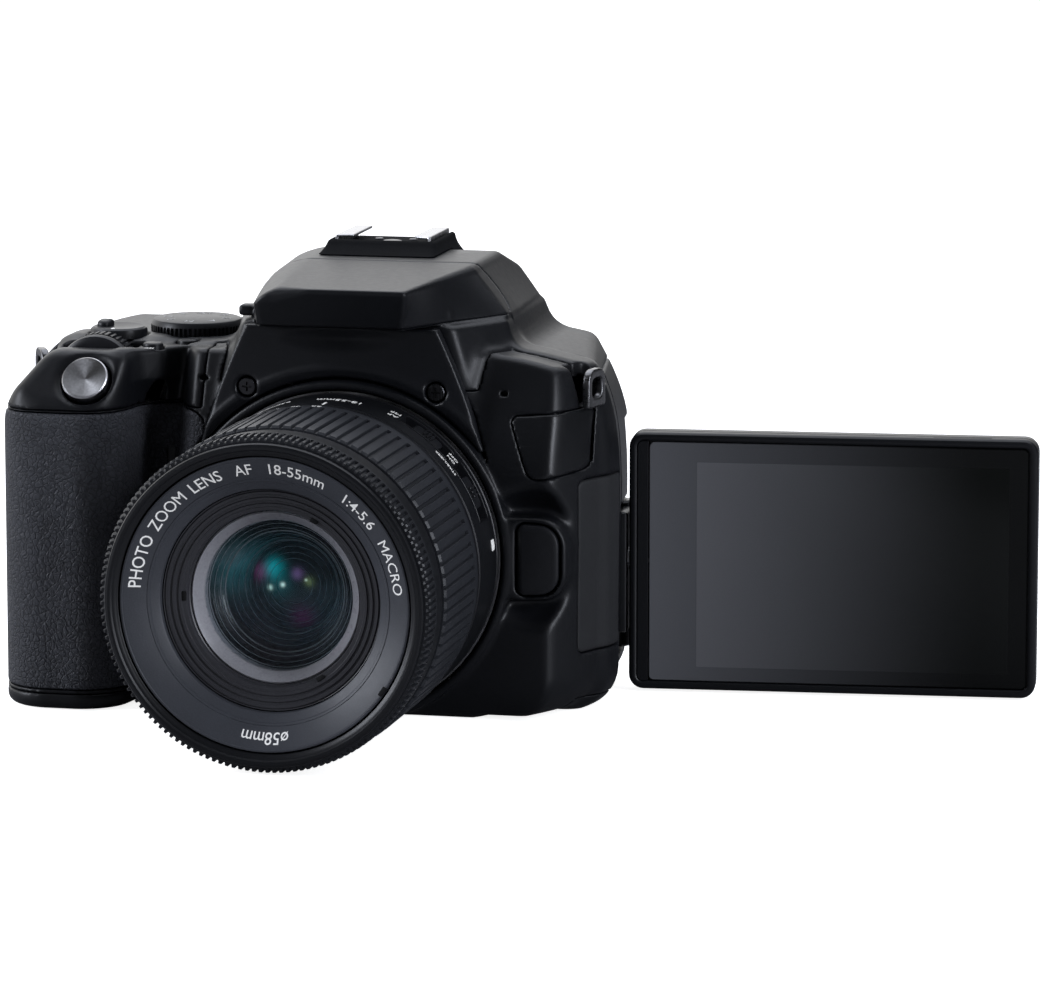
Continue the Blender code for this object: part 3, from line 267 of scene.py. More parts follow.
SHELL_C = (0.0046, 0.0051, 0.0066)
SHELL = plastic("charcoal shell", SHELL_C, 0.40)
SHELL_SMOOTH = plastic("smooth shell", (0.0062, 0.0067, 0.008), 0.33, grain=0.5, depth=0.1)
PLATE = plastic("apron shell", (0.0062, 0.0067, 0.0084), 0.38, depth=0.2)
RUBBER = leather("grip leather", (0.042, 0.044, 0.052), 0.58)
SOFT = plastic("soft rubber", (0.017, 0.0175, 0.019), 0.62, grain=0.3, depth=0.3)
LENS_MAT = plastic("lens barrel plastic", (0.0065, 0.007, 0.0086), 0.36, grain=0.4, depth=0.12)
BAND = plastic("lens band plastic", (0.015, 0.016, 0.019), 0.38, grain=0.3, depth=0.2)
RIB = plastic("zoom ring ribs", (0.020, 0.0215, 0.0255), 0.42, grain=0.3, depth=0.25)
NAME_RING = plastic("name ring", (0.050, 0.053, 0.062), 0.42, grain=0.25, depth=0.2)
BAFFLE = plastic("baffle rings", (0.040, 0.040, 0.045), 0.34, grain=0.4, depth=0.1)
# near-black used only on the notch pads: painted shade standing in for the notches' dark insides
NOTCH_SHADE = plastic("painted notch shade", (0.004, 0.004, 0.0045), 0.75, grain=0.3, depth=0.3)
GLOSS = plastic("gloss black", (0.006, 0.006, 0.0068), 0.16, grain=0.8, depth=0.04, coat=0.4)
PLINTH = plastic("shoe plinth", (0.006, 0.0063, 0.0072), 0.85, grain=0.3, depth=0.2, gleam=0.05)
BUTTON = plastic("button black", (0.010, 0.0105, 0.0125), 0.38, grain=0.3, depth=0.15)
STEEL = metal("satin steel", (0.52, 0.52, 0.53), 0.3, grain=(6.0, 0.2, 6.0))
CHROME = metal("polished lug", (0.17, 0.17, 0.175), 0.30, grain=(2.0, 2.0, 0.6), depth=0.0)
DARK_METAL = metal("dark metal", (0.07, 0.07, 0.075), 0.33)
# the white markings emit a little light: painted brightness on the print
WHITE = paint("white marking", (0.80, 0.80, 0.79), glow=0.28)
GREY_INK = paint("grey marking", (0.42, 0.43, 0.44))
RED_INK = paint("red marking", (0.45, 0.03, 0.02))
MIRROR = metal("mirror coat", (0.86, 0.87, 0.88), 0.05, depth=0.0)
SENSOR = plastic("sensor filter", (0.02, 0.05, 0.045), 0.12, grain=0.6, depth=0.02, coat=1.0)
CELL = plastic("battery case", (0.035, 0.036, 0.04), 0.5)
FRONT_GLASS = coated_glass("front element coating", (0.30, 0.48, 0.55), (0.62, 0.42, 0.46), 0.035)
MID_GLASS = coated_glass("inner element coating", (0.05, 0.45, 0.52), (0.34, 0.12, 0.36), 0.02, 0.04)
# light-grey rings placed at the inner ring edges: painted highlights and painted reflections
RING_HIGHLIGHT = plastic("painted ring highlight", (0.34, 0.36, 0.38), 0.35, grain=0.3, depth=0.1)
# CORE and TUBE shine by emission: painted reflections as tinted glow spots and pin-point highlights
CORE = deep_optics("deep optics", (0.0, -0.080, 0.033), (
    (-4.2, 3.1, 1.8, (0.0, 0.22, 0.25)), (-3.4, 0.4, 2.4, (0.0, 0.045, 0.05)), (-7.2, 2.2, 1.6, (0.11, 0.03, 0.09)),
    (0.6, 2.2, 1.1, (0.09, 0.05, 0.13)), (2.9, 0.7, 0.9, (0.09, 0.12, 0.05)), (-5.0, -0.8, 0.5, (0.55, 0.75, 0.68)),
    (-2.4, -0.1, 0.45, (0.60, 0.75, 0.70)), (2.3, 1.0, 0.25, (0.5, 0.6, 0.5)), (1.5, -6.5, 2.2, (0.022, 0.0, 0.016))))
TUBE = deep_optics("tube between elements", (0.0, -0.085, 0.033), (
    (-10.5, 4.5, 5.0, (0.012, 0.060, 0.072)), (-12.5, 7.5, 2.6, (0.07, 0.026, 0.034)), (11.0, -6.0, 5.0, (0.012, 0.013, 0.016))))
EYE_GLASS = coated_glass("eyepiece coating", (0.20, 0.26, 0.36), (0.4, 0.4, 0.44), 0.3)


def screen_glass(name, left, right, rough, coat):
    """Glass over a dark display; its base colour is a painted reflection, lighter at the left edge and falling off to
    the right.
    """
    look = Look(name)
    parts = look.add("ShaderNodeSeparateXYZ", Vector=look.place)
    painted_sheen = look.span(parts.outputs["X"], 1.0, 0.0, 0.052, 0.124)
    painted_sheen = look.maths("POWER", painted_sheen, 1.7)
    painted_sheen = look.maths("MULTIPLY", painted_sheen, look.span(parts.outputs["Z"], 0.95, 1.0, 0.050, 0.006))
    painted_sheen = look.maths("MULTIPLY", painted_sheen, look.span(look.noise(0.12, 1.0), 0.95, 1.04))
    look.set(Base_Color=look.mix(painted_sheen, (*right, 1.0), (*left, 1.0)), Specular_IOR_Level=0.18,
             Roughness=look.span(look.noise(25.0, 3.0), rough, rough + 0.05), Coat_Weight=coat, Coat_Roughness=0.04)
    return look.mat


# screen glass and display film carry a painted reflection: the left colours are the light at the left edge, the right
# colours the dark display
SCREEN_MAT = screen_glass("screen glass", (0.150, 0.153, 0.165), (0.003, 0.0033, 0.0032), 0.10, 0.0)
FILM = screen_glass("display film", (0.260, 0.263, 0.280), (0.006, 0.0066, 0.0062), 0.14, 0.0)
shutter_at = np.array([-51.7, -3.6, 61.0 + 4.4 * 4.0 / 3.0])
shutter_turn = np.array(Matrix.Rotation(math.atan2(0.8, 0.6), 3, "X"))
SPUN = spun_metal("spun button metal", (0.42, 0.42, 0.43), 0.3,
                  tuple((shutter_at - (0, FLANGE, 0)) * MM), (0.0, -0.8, 0.6))
RETAIN = plastic("retaining ring", (0.28, 0.28, 0.30), 0.28, grain=0.4, depth=0.1)


# ------------------------------------------------------------------ mesh helpers
def world(points):
    """Design millimetres to row-frame metres."""
    p = np.asarray(points, float).reshape(-1, 3)
    return np.stack([p[:, 0], p[:, 1] - FLANGE, p[:, 2]], 1) * MM


def rounded(corners, steps=5):
    """Closed outline through (u, v, radius) corners, each an arc."""
    points = []
    for i, corner in enumerate(corners):
        here = Vector(corner[:2])
        before = Vector(corners[i - 1][:2]) - here
        after = Vector(corners[(i + 1) % len(corners)][:2]) - here
        half = before.angle(after) / 2
        reach = min(max(corner[2], 0.02) / math.tan(half), 0.48 * before.length, 0.48 * after.length)
        radius = reach * math.tan(half)
        start, end = here + before.normalized() * reach, here + after.normalized() * reach
        centre = here + (before.normalized() + after.normalized()).normalized() * (radius / math.sin(half))
        first = start - centre
        turn = first.angle_signed(end - centre)
        for k in range(steps + 1):
            a = math.atan2(first.y, first.x) - turn * k / steps
            points.append((centre.x + radius * math.cos(a), centre.y + radius * math.sin(a)))
    return points


def inset(corners, amount):
    count = len(corners)
    area = sum(corners[i - 1][0] * corners[i][1] - corners[i][0] * corners[i - 1][1] for i in range(count))
    side = 1.0 if area > 0 else -1.0
    moved = []
    for i in range(count):
        here = Vector(corners[i][:2])
        d0 = (here - Vector(corners[i - 1][:2])).normalized()
        d1 = (Vector(corners[(i + 1) % count][:2]) - here).normalized()
        n0, n1 = Vector((-d0.y, d0.x)) * side, Vector((-d1.y, d1.x)) * side
        push = (n0 + n1) / (1 + n0.dot(n1)) * amount
        moved.append((here.x + push.x, here.y + push.y, max(corners[i][2] - amount, 0.15)))
    return moved


def build(name, points, faces):
    mesh = bpy.data.meshes.new(name)
    mesh.from_pydata([tuple(p) for p in world(points)], [], faces)
    bm = bmesh.new()
    bm.from_mesh(mesh)
    bmesh.ops.recalc_face_normals(bm, faces=bm.faces)
    bm.to_mesh(mesh)
    bm.free()
    return mesh


def rows_mesh(name, rows, closed=False):
    """Surface through rings of equal counts; both ends capped, or joined round when closed."""
    count = len(rows[0])
    points = [p for row in rows for p in row]
    faces = []
    last = len(rows) if closed else len(rows) - 1
    for i in range(last):
        a, b = i * count, ((i + 1) % len(rows)) * count
        for k in range(count):
            j = (k + 1) % count
            faces.append((a + k, a + j, b + j, b + k))
    if not closed:
        faces.append(tuple(range(count)))
        faces.append(tuple(range((len(rows) - 1) * count, len(rows) * count)))
    return build(name, points, faces)


def ring_rows(profile, steps, centre, axis="Y", turn=None, wave=None):
    """Rings of a (radius, height) profile about an axis; wave(radius, height, angles) may reshape each."""
    angles = np.arange(steps) * 2 * math.pi / steps
    rows = []
    for radius, height in profile:
        r = np.full(steps, radius, float)
        if wave:
            r = wave(radius, height, angles)
        u, v, w = r * np.cos(angles), r * np.sin(angles), np.full(steps, height, float)
        p = {"Y": (u, w, v), "Z": (u, v, w), "X": (w, u, v)}[axis]
        p = np.stack(p, 1)
        if turn is not None:
            p = p @ np.array(turn).T
        rows.append(p + np.array(centre))
    return rows


def lathe(name, profile, centre, axis="Y", steps=64, turn=None, wave=None, closed=False):
    return rows_mesh(name, ring_rows(profile, steps, centre, axis, turn, wave), closed)


def levels_mesh(name, corners, levels, axis="Y", steps=5):
    """Bevelled plate: the same outline at (height, inset) levels."""
    rows = []
    for height, amount in levels:
        outline = rounded(inset(corners, amount), steps)
        if axis == "Y":
            rows.append([(u, height, v) for u, v in outline])
        elif axis == "Z":
            rows.append([(u, v, height) for u, v in outline])
        else:
            rows.append([(height, u, v) for u, v in outline])
    return rows_mesh(name, rows)


def piece(name, mesh, body, mat, stands_for=(), sharp=34.0):
    """Adds one visual piece to its body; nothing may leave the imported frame's own box."""
    spots = np.empty(len(mesh.vertices) * 3, f32)
    mesh.vertices.foreach_get("co", spots)
    mesh.vertices.foreach_set("co", np.clip(spots.reshape(-1, 3), cad_box[0], cad_box[1]).astype(f32).ravel())
    obj = bpy.data.objects.new(name, mesh)
    bpy.context.scene.collection.objects.link(obj)
    mesh.materials.clear()
    mesh.materials.append(mat)
    mesh.shade_smooth()
    if sharp:
        mesh.set_sharp_from_angle(angle=math.radians(sharp))
    obj.parent = frame["bodies"][body]
    obj["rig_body"] = body
    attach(obj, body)
    if stands_for:
        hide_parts(*stands_for)
    return obj


def finish_node(name, mat, bevel=0.0, angle=30.0):
    """A CAD node that stays: its own finish, and softened edges where asked."""
    obj = node[name]
    obj.data.materials.clear()
    obj.data.materials.append(mat)
    if bevel:
        mod = obj.modifiers.new("edges", "BEVEL")
        mod.width = bevel * MM
        mod.segments = 2
        mod.limit_method = "ANGLE"
        mod.angle_limit = math.radians(angle)


def lettering(name, text, size, place, body, mat, bold=0.0, thick=0.03):
    """Raised lettering: the built-in font's outlines, moved by place(points) to where they are printed."""
    curve = bpy.data.curves.new(name + " outline", "FONT")
    curve.body = text
    curve.size = size
    curve.align_x, curve.align_y = "CENTER", "CENTER"
    curve.extrude = thick
    curve.offset = bold
    curve.resolution_u = 3
    maker = bpy.data.objects.new(name + " maker", curve)
    bpy.context.scene.collection.objects.link(maker)
    mesh = bpy.data.meshes.new_from_object(maker.evaluated_get(bpy.context.evaluated_depsgraph_get()))
    bpy.data.objects.remove(maker)
    flat = np.array([v.co for v in mesh.vertices], float).reshape(-1, 3)
    mesh.vertices.foreach_set("co", world(place(flat)).astype(f32).ravel())
    mesh.update()
    return piece(name, mesh, body, mat, sharp=20)


# ------------------------------------------------------------------ distance fields
def smin(a, b, k):
    h = np.clip(0.5 + 0.5 * (b - a) / k, 0, 1)
    return b + (a - b) * h - k * h * (1 - h)


def smax(a, b, k):
    return -smin(-a, -b, k)


def rmax(r, *fields):
    """Intersection with a circular fillet of radius r along each edge."""
    out = fields[0]
    for f in fields[1:]:
        out = np.minimum(-r, np.maximum(out, f)) + np.hypot(np.maximum(out + r, 0), np.maximum(f + r, 0))
    return out


def rbox(x, y, z, low, high, r=0.0):
    q = [np.abs(c - (a + b) / 2) - (b - a) / 2 + r for c, a, b in zip((x, y, z), low, high)]
    outside = np.sqrt(sum(np.maximum(c, 0) ** 2 for c in q))
    return outside + np.minimum(np.maximum(np.maximum(q[0], q[1]), q[2]), 0) - r


def polygon(points, u, v):
    """Exact signed distance to a closed outline."""
    best = np.full(np.broadcast(u, v).shape, 1e9, f32)
    sign = np.ones_like(best)
    for i, (bx, by) in enumerate(points):
        ax, ay = points[i - 1]
        ex, ey = bx - ax, by - ay
        wx, wy = u - ax, v - ay
        t = np.clip((wx * ex + wy * ey) / (ex * ex + ey * ey + 1e-12), 0, 1)
        best = np.minimum(best, (wx - ex * t) ** 2 + (wy - ey * t) ** 2)
        c1, c2, c3 = v >= ay, v < by, ex * wy > ey * wx
        flip = (c1 & c2 & c3) | (~c1 & ~c2 & ~c3)
        sign = np.where(flip, -sign, sign)
    return (sign * np.sqrt(best)).astype(f32)


def right_side(y):
    front = 52.2 - 1.4 * (np.maximum(21 - y, 0) / 6) ** 1.5
    return np.maximum(front, 40.0) - 4.6 * np.clip((y - 21) / 36.5, 0, 1) ** 0.8


def width_table(levels, y, z):
    """Half width over (y, z), linear between stations, with the factor that makes it a distance."""
    heights = [lv[0] for lv in levels]
    rows = [np.interp(y.ravel(), [p[0] for p in lv[1]], [p[1] for p in lv[1]]) for lv in levels]
    rows = np.stack(rows, 1)
    out = np.stack([np.interp(z.ravel(), heights, row) for row in rows])
    gy, gz = np.gradient(out, y.ravel(), z.ravel())
    lean = 1.0 / np.sqrt(1 + gy ** 2 + gz ** 2)
    return out[None].astype(f32), lean[None].astype(f32)


def side_walls(x, y, z, right, left):
    """Both leaning side walls; the left one, by the mode dial, is slimmer."""
    (wr, lr), (wl, ll) = width_table(right, y, z), width_table(left, y, z)
    return np.maximum((x - wr) * lr, (-x - wl) * ll)


def hump_low(x, y, z):
    side = side_walls(x, y, z, [
        (58.0, [(3.4, 26.0), (11.0, 31.0), (17.5, 34.4), (56.5, 34.5)]),
        (72.0, [(3.4, 23.8), (10.5, 28.4), (16.5, 31.8), (56.5, 32.0)]),
        (78.9, [(3.4, 21.8), (10.2, 26.0), (17.5, 30.2), (56.5, 29.0)]),
    ], [
        (58.0, [(3.4, 26.0), (11.0, 29.5), (17.5, 31.5), (56.5, 33.5)]),
        (72.0, [(3.4, 22.6), (10.5, 24.8), (16.5, 26.4), (56.5, 31.0)]),
        (78.9, [(3.4, 20.9), (10.2, 22.6), (17.5, 24.4), (56.5, 28.6)]),
    ])
    return rmax(1.2, smax(side, 3.4 - y, 1.5), y - 56.5, z - 78.9)


def hump_high(x, y, z):
    side = side_walls(x, y, z, [
        (73.3, [(-4.2, 13.5), (9.0, 21.7), (19.5, 30.0), (30.0, 29.8), (56.0, 28.6)]),
        (79.3, [(-6.6, 14.5), (7.0, 21.7), (19.5, 30.0), (30.0, 29.8), (56.0, 28.6)]),
        (87.4, [(-10.0, 15.9), (5.0, 18.9), (21.0, 23.2), (54.0, 23.4)]),
        (93.0, [(-12.4, 15.9), (5.0, 17.4), (21.0, 19.6), (51.0, 19.6)]),
    ], [
        (73.3, [(-4.2, 13.5), (9.0, 20.3), (19.5, 24.6), (56.0, 28.0)]),
        (79.3, [(-6.6, 15.2), (7.0, 19.8), (19.5, 23.1), (56.0, 28.0)]),
        (84.0, [(-8.6, 15.4), (5.8, 18.2), (20.4, 20.9), (54.8, 24.8)]),
        (87.4, [(-10.0, 12.8), (5.0, 15.4), (21.0, 18.1), (54.0, 20.8)]),
        (93.0, [(-12.4, 9.5), (5.0, 11.0), (21.0, 12.0), (51.0, 13.5)]),
    ])
    face = np.interp(z, [73.3, 79.3, 87.4, 93.0], [-4.2, -6.6, -10.0, -12.4]).astype(f32)
    roof = np.interp(y, [-30, 24, 45, 58.5], [86.2, 89.0, 89.0, 83.0]).astype(f32)
    back = np.interp(z, [73.3, 79.3, 87.4, 93.0], [56, 56, 54, 51.0]).astype(f32)
    out = smax(side, (face - y) * 0.93, 1.0)
    soft = 0.9 + 2.4 * np.clip(-(x + 4.0) / 8.0, 0, 1)
    return rmax(soft, smax(out, y - back, 3.0), z - roof)


def body_field(x, y, z):
    """The camera body's outside as one moulded form."""
    right = right_side(y)
    left = -70.2 + 3 * (np.maximum(y - 44, 0) / 13.5) ** 1.6
    side = x - (right - 0.6 * np.clip((57 - z) / 57, 0, 1))
    side = smax(side, ((x - right) * 12 + (z - 57) * 2.8) / 12.32, 4.0)
    side = smax(side, ((x - right) * 9.5 + (z - 61.5 + 0.1 * (y - 14)) * 5.3) / 10.88, 3.0)
    slope = ((z - 73.2) * 18.4 + (x - 31) * 4.2) / 18.87
    crown = z - TOP_Z - np.clip((x + 20) / 51, 0, 1)
    top = smax(slope, crown + 0 * y, 2.0)
    flank = smax(left - x + 0 * z, ((left - x) * 8.5 + (z - 60) * 3) / 9.01, 4.0)
    flank = smax(flank, ((left + 3 - x) * 3.7 + (z - 68.5) * 6.5) / 7.48, 3.0)
    walls = smax(smax(side, top, 1.2), flank, 1.0)
    section = rmax(8.0, walls, -z)
    block = rmax(2.0, section, FRONT_Y - y, y - REAR_Y)

    # raised front round the lens, falling away to the hinge side, the shoulder and the finger hollow
    fall = (0.0110 * np.maximum(z - 45, 0) ** 2 + 0.115 * np.maximum(x - 41.0, 0) ** 2
            + 0.30 * np.maximum(-30.5 - x, 0) ** 2 + 0.03 * np.maximum(9 - z, 0) ** 2)
    gx = 0.23 * np.maximum(x - 41.0, 0) + 0.60 * np.maximum(-30.5 - x, 0)
    gz = 0.022 * np.maximum(z - 45, 0) + 0.06 * np.maximum(9 - z, 0)
    front = (fall - y) / np.sqrt(1 + gx ** 2 + gz ** 2)
    low = rmax(8.5, side, 0.7 - z)
    bulge = rmax(1.5, rmax(1.0, front, smax(low, top, 1.2)), -40.0 - x, y - 24.0)
    out = smin(block, bulge, 3.0)

    # hand grip with its sloping top
    grip = rmax(10.5, -70.2 - x, -8.0 - y + 0 * z)
    inner = ((x + 45.2) * 20.5 - (y + 8.0) * 3.0) / 20.72
    grip = rmax(9.0, grip, inner)
    ramp = -0.8 * (y + 8.0) + 0.6 * (z - 61.0)
    chamfer = ((-70.2 - x) * 12.2 + (z - 60.0) * 9.5) / 15.46
    cap = smax(smax(ramp, z - TOP_Z, 1.6), chamfer, 2.4)
    grip = smax(grip, cap, 2.2)
    grip = rmax(2.0, grip, -z, y - 24.0)
    out = smin(out, grip, 5.0)

    # front edge of the top plate, sweeping from the grip to the finder
    low_edge = [(-47.0, 9.0, 1), (-42.0, 12.6, 4), (-33.0, 15.6, 3), (-27.0, 16.6, 1), (-27.0, 26.0, 1), (-47.0, 26.0, 1)]
    high_edge = [(-47.0, 0.6, 1), (-43.6, 2.6, 4), (-35.6, 12.2, 5), (-27.0, 15.0, 1), (-27.0, 26.0, 1), (-47.0, 26.0, 1)]
    xy = (x[:, :, :1], y[:, :, :1])
    mixed = np.clip((z - 54.0) / 12.0, 0, 1)
    ledge = polygon(rounded(low_edge), *xy) * (1 - mixed) + polygon(rounded(high_edge), *xy) * mixed
    out = smin(out, rmax(0.9, ledge, z - TOP_Z, 52.0 - z), 1.6)

    out = smin(out, hump_low(x, y, z), 3.2)
    high = np.maximum(hump_high(x, y, z), np.maximum(-flash_zone(x, y, z, -0.2), 79.0 - z - 100 * (y > 22.3)))
    out = smin(out, high, 0.8)

    # lens boss, and the dished thumb space with a raised lip round the release button
    rho = np.hypot(x, z - AXIS_Z)
    boss = rmax(0.7, rho - BOSS_R, -1.0 - y, y - 12.0)
    boss = np.maximum(boss, 0.8 - z)
    dish = np.sqrt((x - 40.0) ** 2 + (y + 9.5) ** 2 + (z - 33.6) ** 2) - 16.9
    out = smax(out, -dish, 1.6)
    lip_line = [(20.0, 24.6, 1.0), (20.0, 41.8, 1.0), (46.2, 41.6, 6.0), (46.2, 24.8, 6.0)]
    lip = polygon(rounded(lip_line, 8), x[:, :, :], z[:, :, :])
    lip = rmax(1.4, lip, -0.55 - y, y - 10.0)
    out = smin(out, lip, 2.2)
    out = smin(out, boss, 0.9)
    return np.maximum(out, np.maximum(-z, -70.2 - x)).astype(f32)


def flash_zone(x, y, z, gap):
    """Space of the flash head: ahead of its pivot and above its lip, plus the pivot drum."""
    zone = np.maximum(y - 21.5 - gap, 79.3 - gap - z)
    drum = np.hypot(y - 21.5, z - 84.6) - 5.2 - gap
    return np.minimum(zone, drum) + 0 * x


def apron(x, y, z, gap=0.0):
    """Plate between the lens and the flash."""
    w = np.interp(z, [50, 61, 66, 71, 76, 79], [30.5, 26.9, 25.1, 23.1, 20.9, 19.4]).astype(f32)
    rho = np.hypot(x, z - AXIS_Z)
    ridge = 0.55 * np.exp(-((rho - 37.2) / 0.9) ** 2)
    scoop = np.sqrt((x / 11.0) ** 2 + ((z - 76.0) / 2.2) ** 2)
    front = 0.4 - y - ridge + 0.9 * np.clip(1.15 - scoop, 0, 1)
    field = rmax(0.7, front, (np.abs(x) - w) * 0.95)
    return np.maximum(np.maximum(field, y - 3.2), np.maximum(np.maximum(z - 78.5, 50.0 - z), 35.4 - rho)) - gap


lo_corner = np.array([-71.6, -13.7, -1.4])
hi_corner = np.array([53.6, 59.4, 91.4])
counts = np.ceil((hi_corner - lo_corner) / PITCH).astype(int) + 1
axes = [(lo_corner[i] + PITCH * np.arange(counts[i])).astype(f32) for i in range(3)]
GX, GY, GZ = axes[0][:, None, None], axes[1][None, :, None], axes[2][None, None, :]
BODY = body_field(GX, GY, GZ)


def to_mesh(name, field, low, pitch, keep=1.0):
    """Closed quad mesh of the field's zero surface, thinned where it is flat."""
    field = np.clip(field, -3, 3).astype(f32)
    for side in (0, -1):
        field[side], field[:, side], field[:, :, side] = 2.0, 2.0, 2.0
    grid = openvdb.FloatGrid(3.0)
    grid.copyFromArray(field)
    points, quads = grid.convertToQuads(0.0)
    points = world(points.astype(float) * pitch + np.array(low))
    mesh = bpy.data.meshes.new(name)
    mesh.vertices.add(len(points))
    mesh.vertices.foreach_set("co", points.astype(f32).ravel())
    mesh.loops.add(4 * len(quads))
    mesh.loops.foreach_set("vertex_index", quads.astype(np.int32).ravel())
    mesh.polygons.add(len(quads))
    mesh.polygons.foreach_set("loop_start", np.arange(len(quads), dtype=np.int32) * 4)
    mesh.update(calc_edges=True)
    a, b, c = (points[quads[:, i]] for i in (0, 1, 2))
    if np.einsum("ij,ij->i", a, np.cross(b, c)).sum() < 0:
        mesh.flip_normals()
    if keep < 1.0:
        maker = bpy.data.objects.new(name + " maker", mesh)
        bpy.context.scene.collection.objects.link(maker)
        mod = maker.modifiers.new("thin", "DECIMATE")
        mod.ratio = keep
        thin = bpy.data.meshes.new_from_object(maker.evaluated_get(bpy.context.evaluated_depsgraph_get()))
        bpy.data.objects.remove(maker)
        bpy.data.meshes.remove(mesh)
        mesh = thin
        mesh.name = name
    return mesh


def carve(name, low, high, cutter, keep=0.4):
    """One moulded piece: cutter(x, y, z, body) over the part of the body grid between two corners."""
    i0 = np.maximum(np.floor((np.array(low) - lo_corner) / PITCH).astype(int), 0)
    i1 = np.minimum(np.ceil((np.array(high) - lo_corner) / PITCH).astype(int) + 1, counts)
    x, y, z = GX[i0[0]:i1[0]], GY[:, i0[1]:i1[1]], GZ[:, :, i0[2]:i1[2]]
    e = BODY[i0[0]:i1[0], i0[1]:i1[1], i0[2]:i1[2]]
    field = np.broadcast_to(cutter(x, y, z, e), e.shape).copy()
    return to_mesh(name, field, lo_corner + i0 * PITCH, PITCH, keep)


def local(name, low, high, pitch, field_of, keep=1.0):
    """A small piece on its own finer grid."""
    ax = [np.arange(a, b + pitch, pitch, dtype=float).astype(f32) for a, b in zip(low, high)]
    x, y, z = ax[0][:, None, None], ax[1][None, :, None], ax[2][None, None, :]
    shape = (len(ax[0]), len(ax[1]), len(ax[2]))
    field = np.broadcast_to(field_of(x, y, z), shape).copy()
    return to_mesh(name, field, low, pitch, keep)


# ------------------------------------------------------------------ zones that part the covers
def box_field(x, y, z, low, high):
    return np.maximum(np.maximum(np.abs(x - (low[0] + high[0]) / 2) - (high[0] - low[0]) / 2,
                                 np.abs(y - (low[1] + high[1]) / 2) - (high[1] - low[1]) / 2),
                      np.abs(z - (low[2] + high[2]) / 2) - (high[2] - low[2]) / 2)


def cover_shell(x, y, z, e):
    """The body's wall, thickened round the recesses for the screen, its arm and the side flaps."""
    hollow = e + WALL
    for low, high in (((-42.4, 48.1, -9), (90, 90, 56.5)), ((41.2, 33.4, 5.2), (90, 90, 40.4)),
                      ((45.4, -9, 10.5), (90, 26, 50.5)), ((-90, 24.5, 17), (-66.4, 46.5, 53))):
        hollow = np.maximum(hollow, -box_field(x, y, z, low, high))
    well = np.hypot(x + 37.4, y - 28.5) - 12.1
    hollow = np.maximum(hollow, -np.maximum(well, TOP_Z - WALL - z))
    rho = np.hypot(x, z - AXIS_Z)
    shell = np.maximum(e, -hollow)
    bore = np.minimum(np.maximum(rho - 33.1, y - 2.7), np.maximum(rho - 28.6, y - 9.0))
    shell = rmax(0.4, shell, -bore)
    shell = rmax(0.5, shell, -rbox(x, y, z, (-39.9, 50.1, -30), (90, 90, 54.15), 0.4))
    shell = rmax(0.5, shell, -rbox(x, y, z, (43.3, 35.4, 7.2), (90, 90, 38.4), 0.4))
    return shell


def top_zone(x, y, z):
    """Where the top cover is: above the side seam, the finder hump, and the grip's sloping top."""
    roof = np.maximum(66.0 - z, 14.6 - y)
    finder = np.maximum(66.0 - z, hump_low(x, y, z) - 1.2)
    high = np.maximum(79.0 - z, np.abs(x) - 40.0)
    grip = np.maximum(np.maximum(60.9 - z, x + 29.5), y - 18.0)
    return np.minimum(np.minimum(roof, finder), np.minimum(high, grip))


def base_zone(x, y, z):
    return np.maximum(z - 3.3, -np.maximum(-40.0 - x, y - 10.0))


def rubber_zone(x, y, z, gap=0.0):
    zone = rmax(3.5, x + 28.7, z - 60.3)
    zone = np.maximum(np.maximum(zone, y - 14.6), 4.2 - z)
    return np.maximum(zone, 36.4 - np.hypot(x, z - AXIS_Z)) - gap


BADGE = [(34.0, 61.2, 1.2), (38.4, 48.8, 2.6), (48.4, 50.4, 1.6), (48.6, 62.4, 1.2)]
RELEASE = [(36.2, 40.3, 1.5), (36.2, 25.9, 1.5), (44.6, 26.4, 4.0), (44.6, 39.9, 4.0)]


def badge_zone(x, y, z, gap=0.0):
    return np.maximum(polygon(rounded(BADGE), x, z) - gap, y - 24.0)


def remote_zone(x, y, z, gap=0.0):
    return np.maximum(rmax(2.0, np.abs(y - 15.25) - 7.75, np.abs(z - 30.5) - 17.5) - gap, 46.4 - gap - x)


def port_zone(x, y, z, gap=0.0):
    return np.maximum(rmax(2.0, np.abs(y - 35.5) - 8.5, np.abs(z - 35.0) - 15.5) - gap, x + 60.0)


def skin_space(zone, e, depth):
    """Shallow step cut into a cover for an inlaid skin."""
    return np.maximum(zone, -(e + depth))


def drill(field, *holes, r=0.35):
    for hole in holes:
        field = rmax(r, field, -hole)
    return field


def along_shutter(x, y, z):
    """Distance from the shutter button's axis and height along it."""
    dx, dy, dz = x - shutter_at[0], y - shutter_at[1], z - shutter_at[2]
    height = -0.8 * dy + 0.6 * dz
    across = np.sqrt(dx ** 2 + (0.6 * dy + 0.8 * dz) ** 2)
    return across, height


def slot_hole(x, z, cx, cz, half, r, lean=0.0):
    """Rounded slot outline in a plane, half long, turned by lean degrees."""
    c, s = math.cos(math.radians(lean)), math.sin(math.radians(lean))
    u = (x - cx) * c + (z - cz) * s
    v = -(x - cx) * s + (z - cz) * c
    return np.hypot(np.maximum(np.abs(u) - half, 0), v) - r


def lug_notch(x, y, z):
    """Recess in the shoulder round the right strap loop; its floor rises backwards."""
    plan = [(42.6, 12.0, 0.6), (47.4, 10.2, 0.5), (48.7, 8.6, 0.5), (70.0, 8.6, 1.0), (70.0, 17.6, 1.0), (45.4, 17.2, 1.6)]
    return rmax(0.6, polygon(rounded(plan), x, y), 62.4 + 0.10 * (y - 8.0) - z)


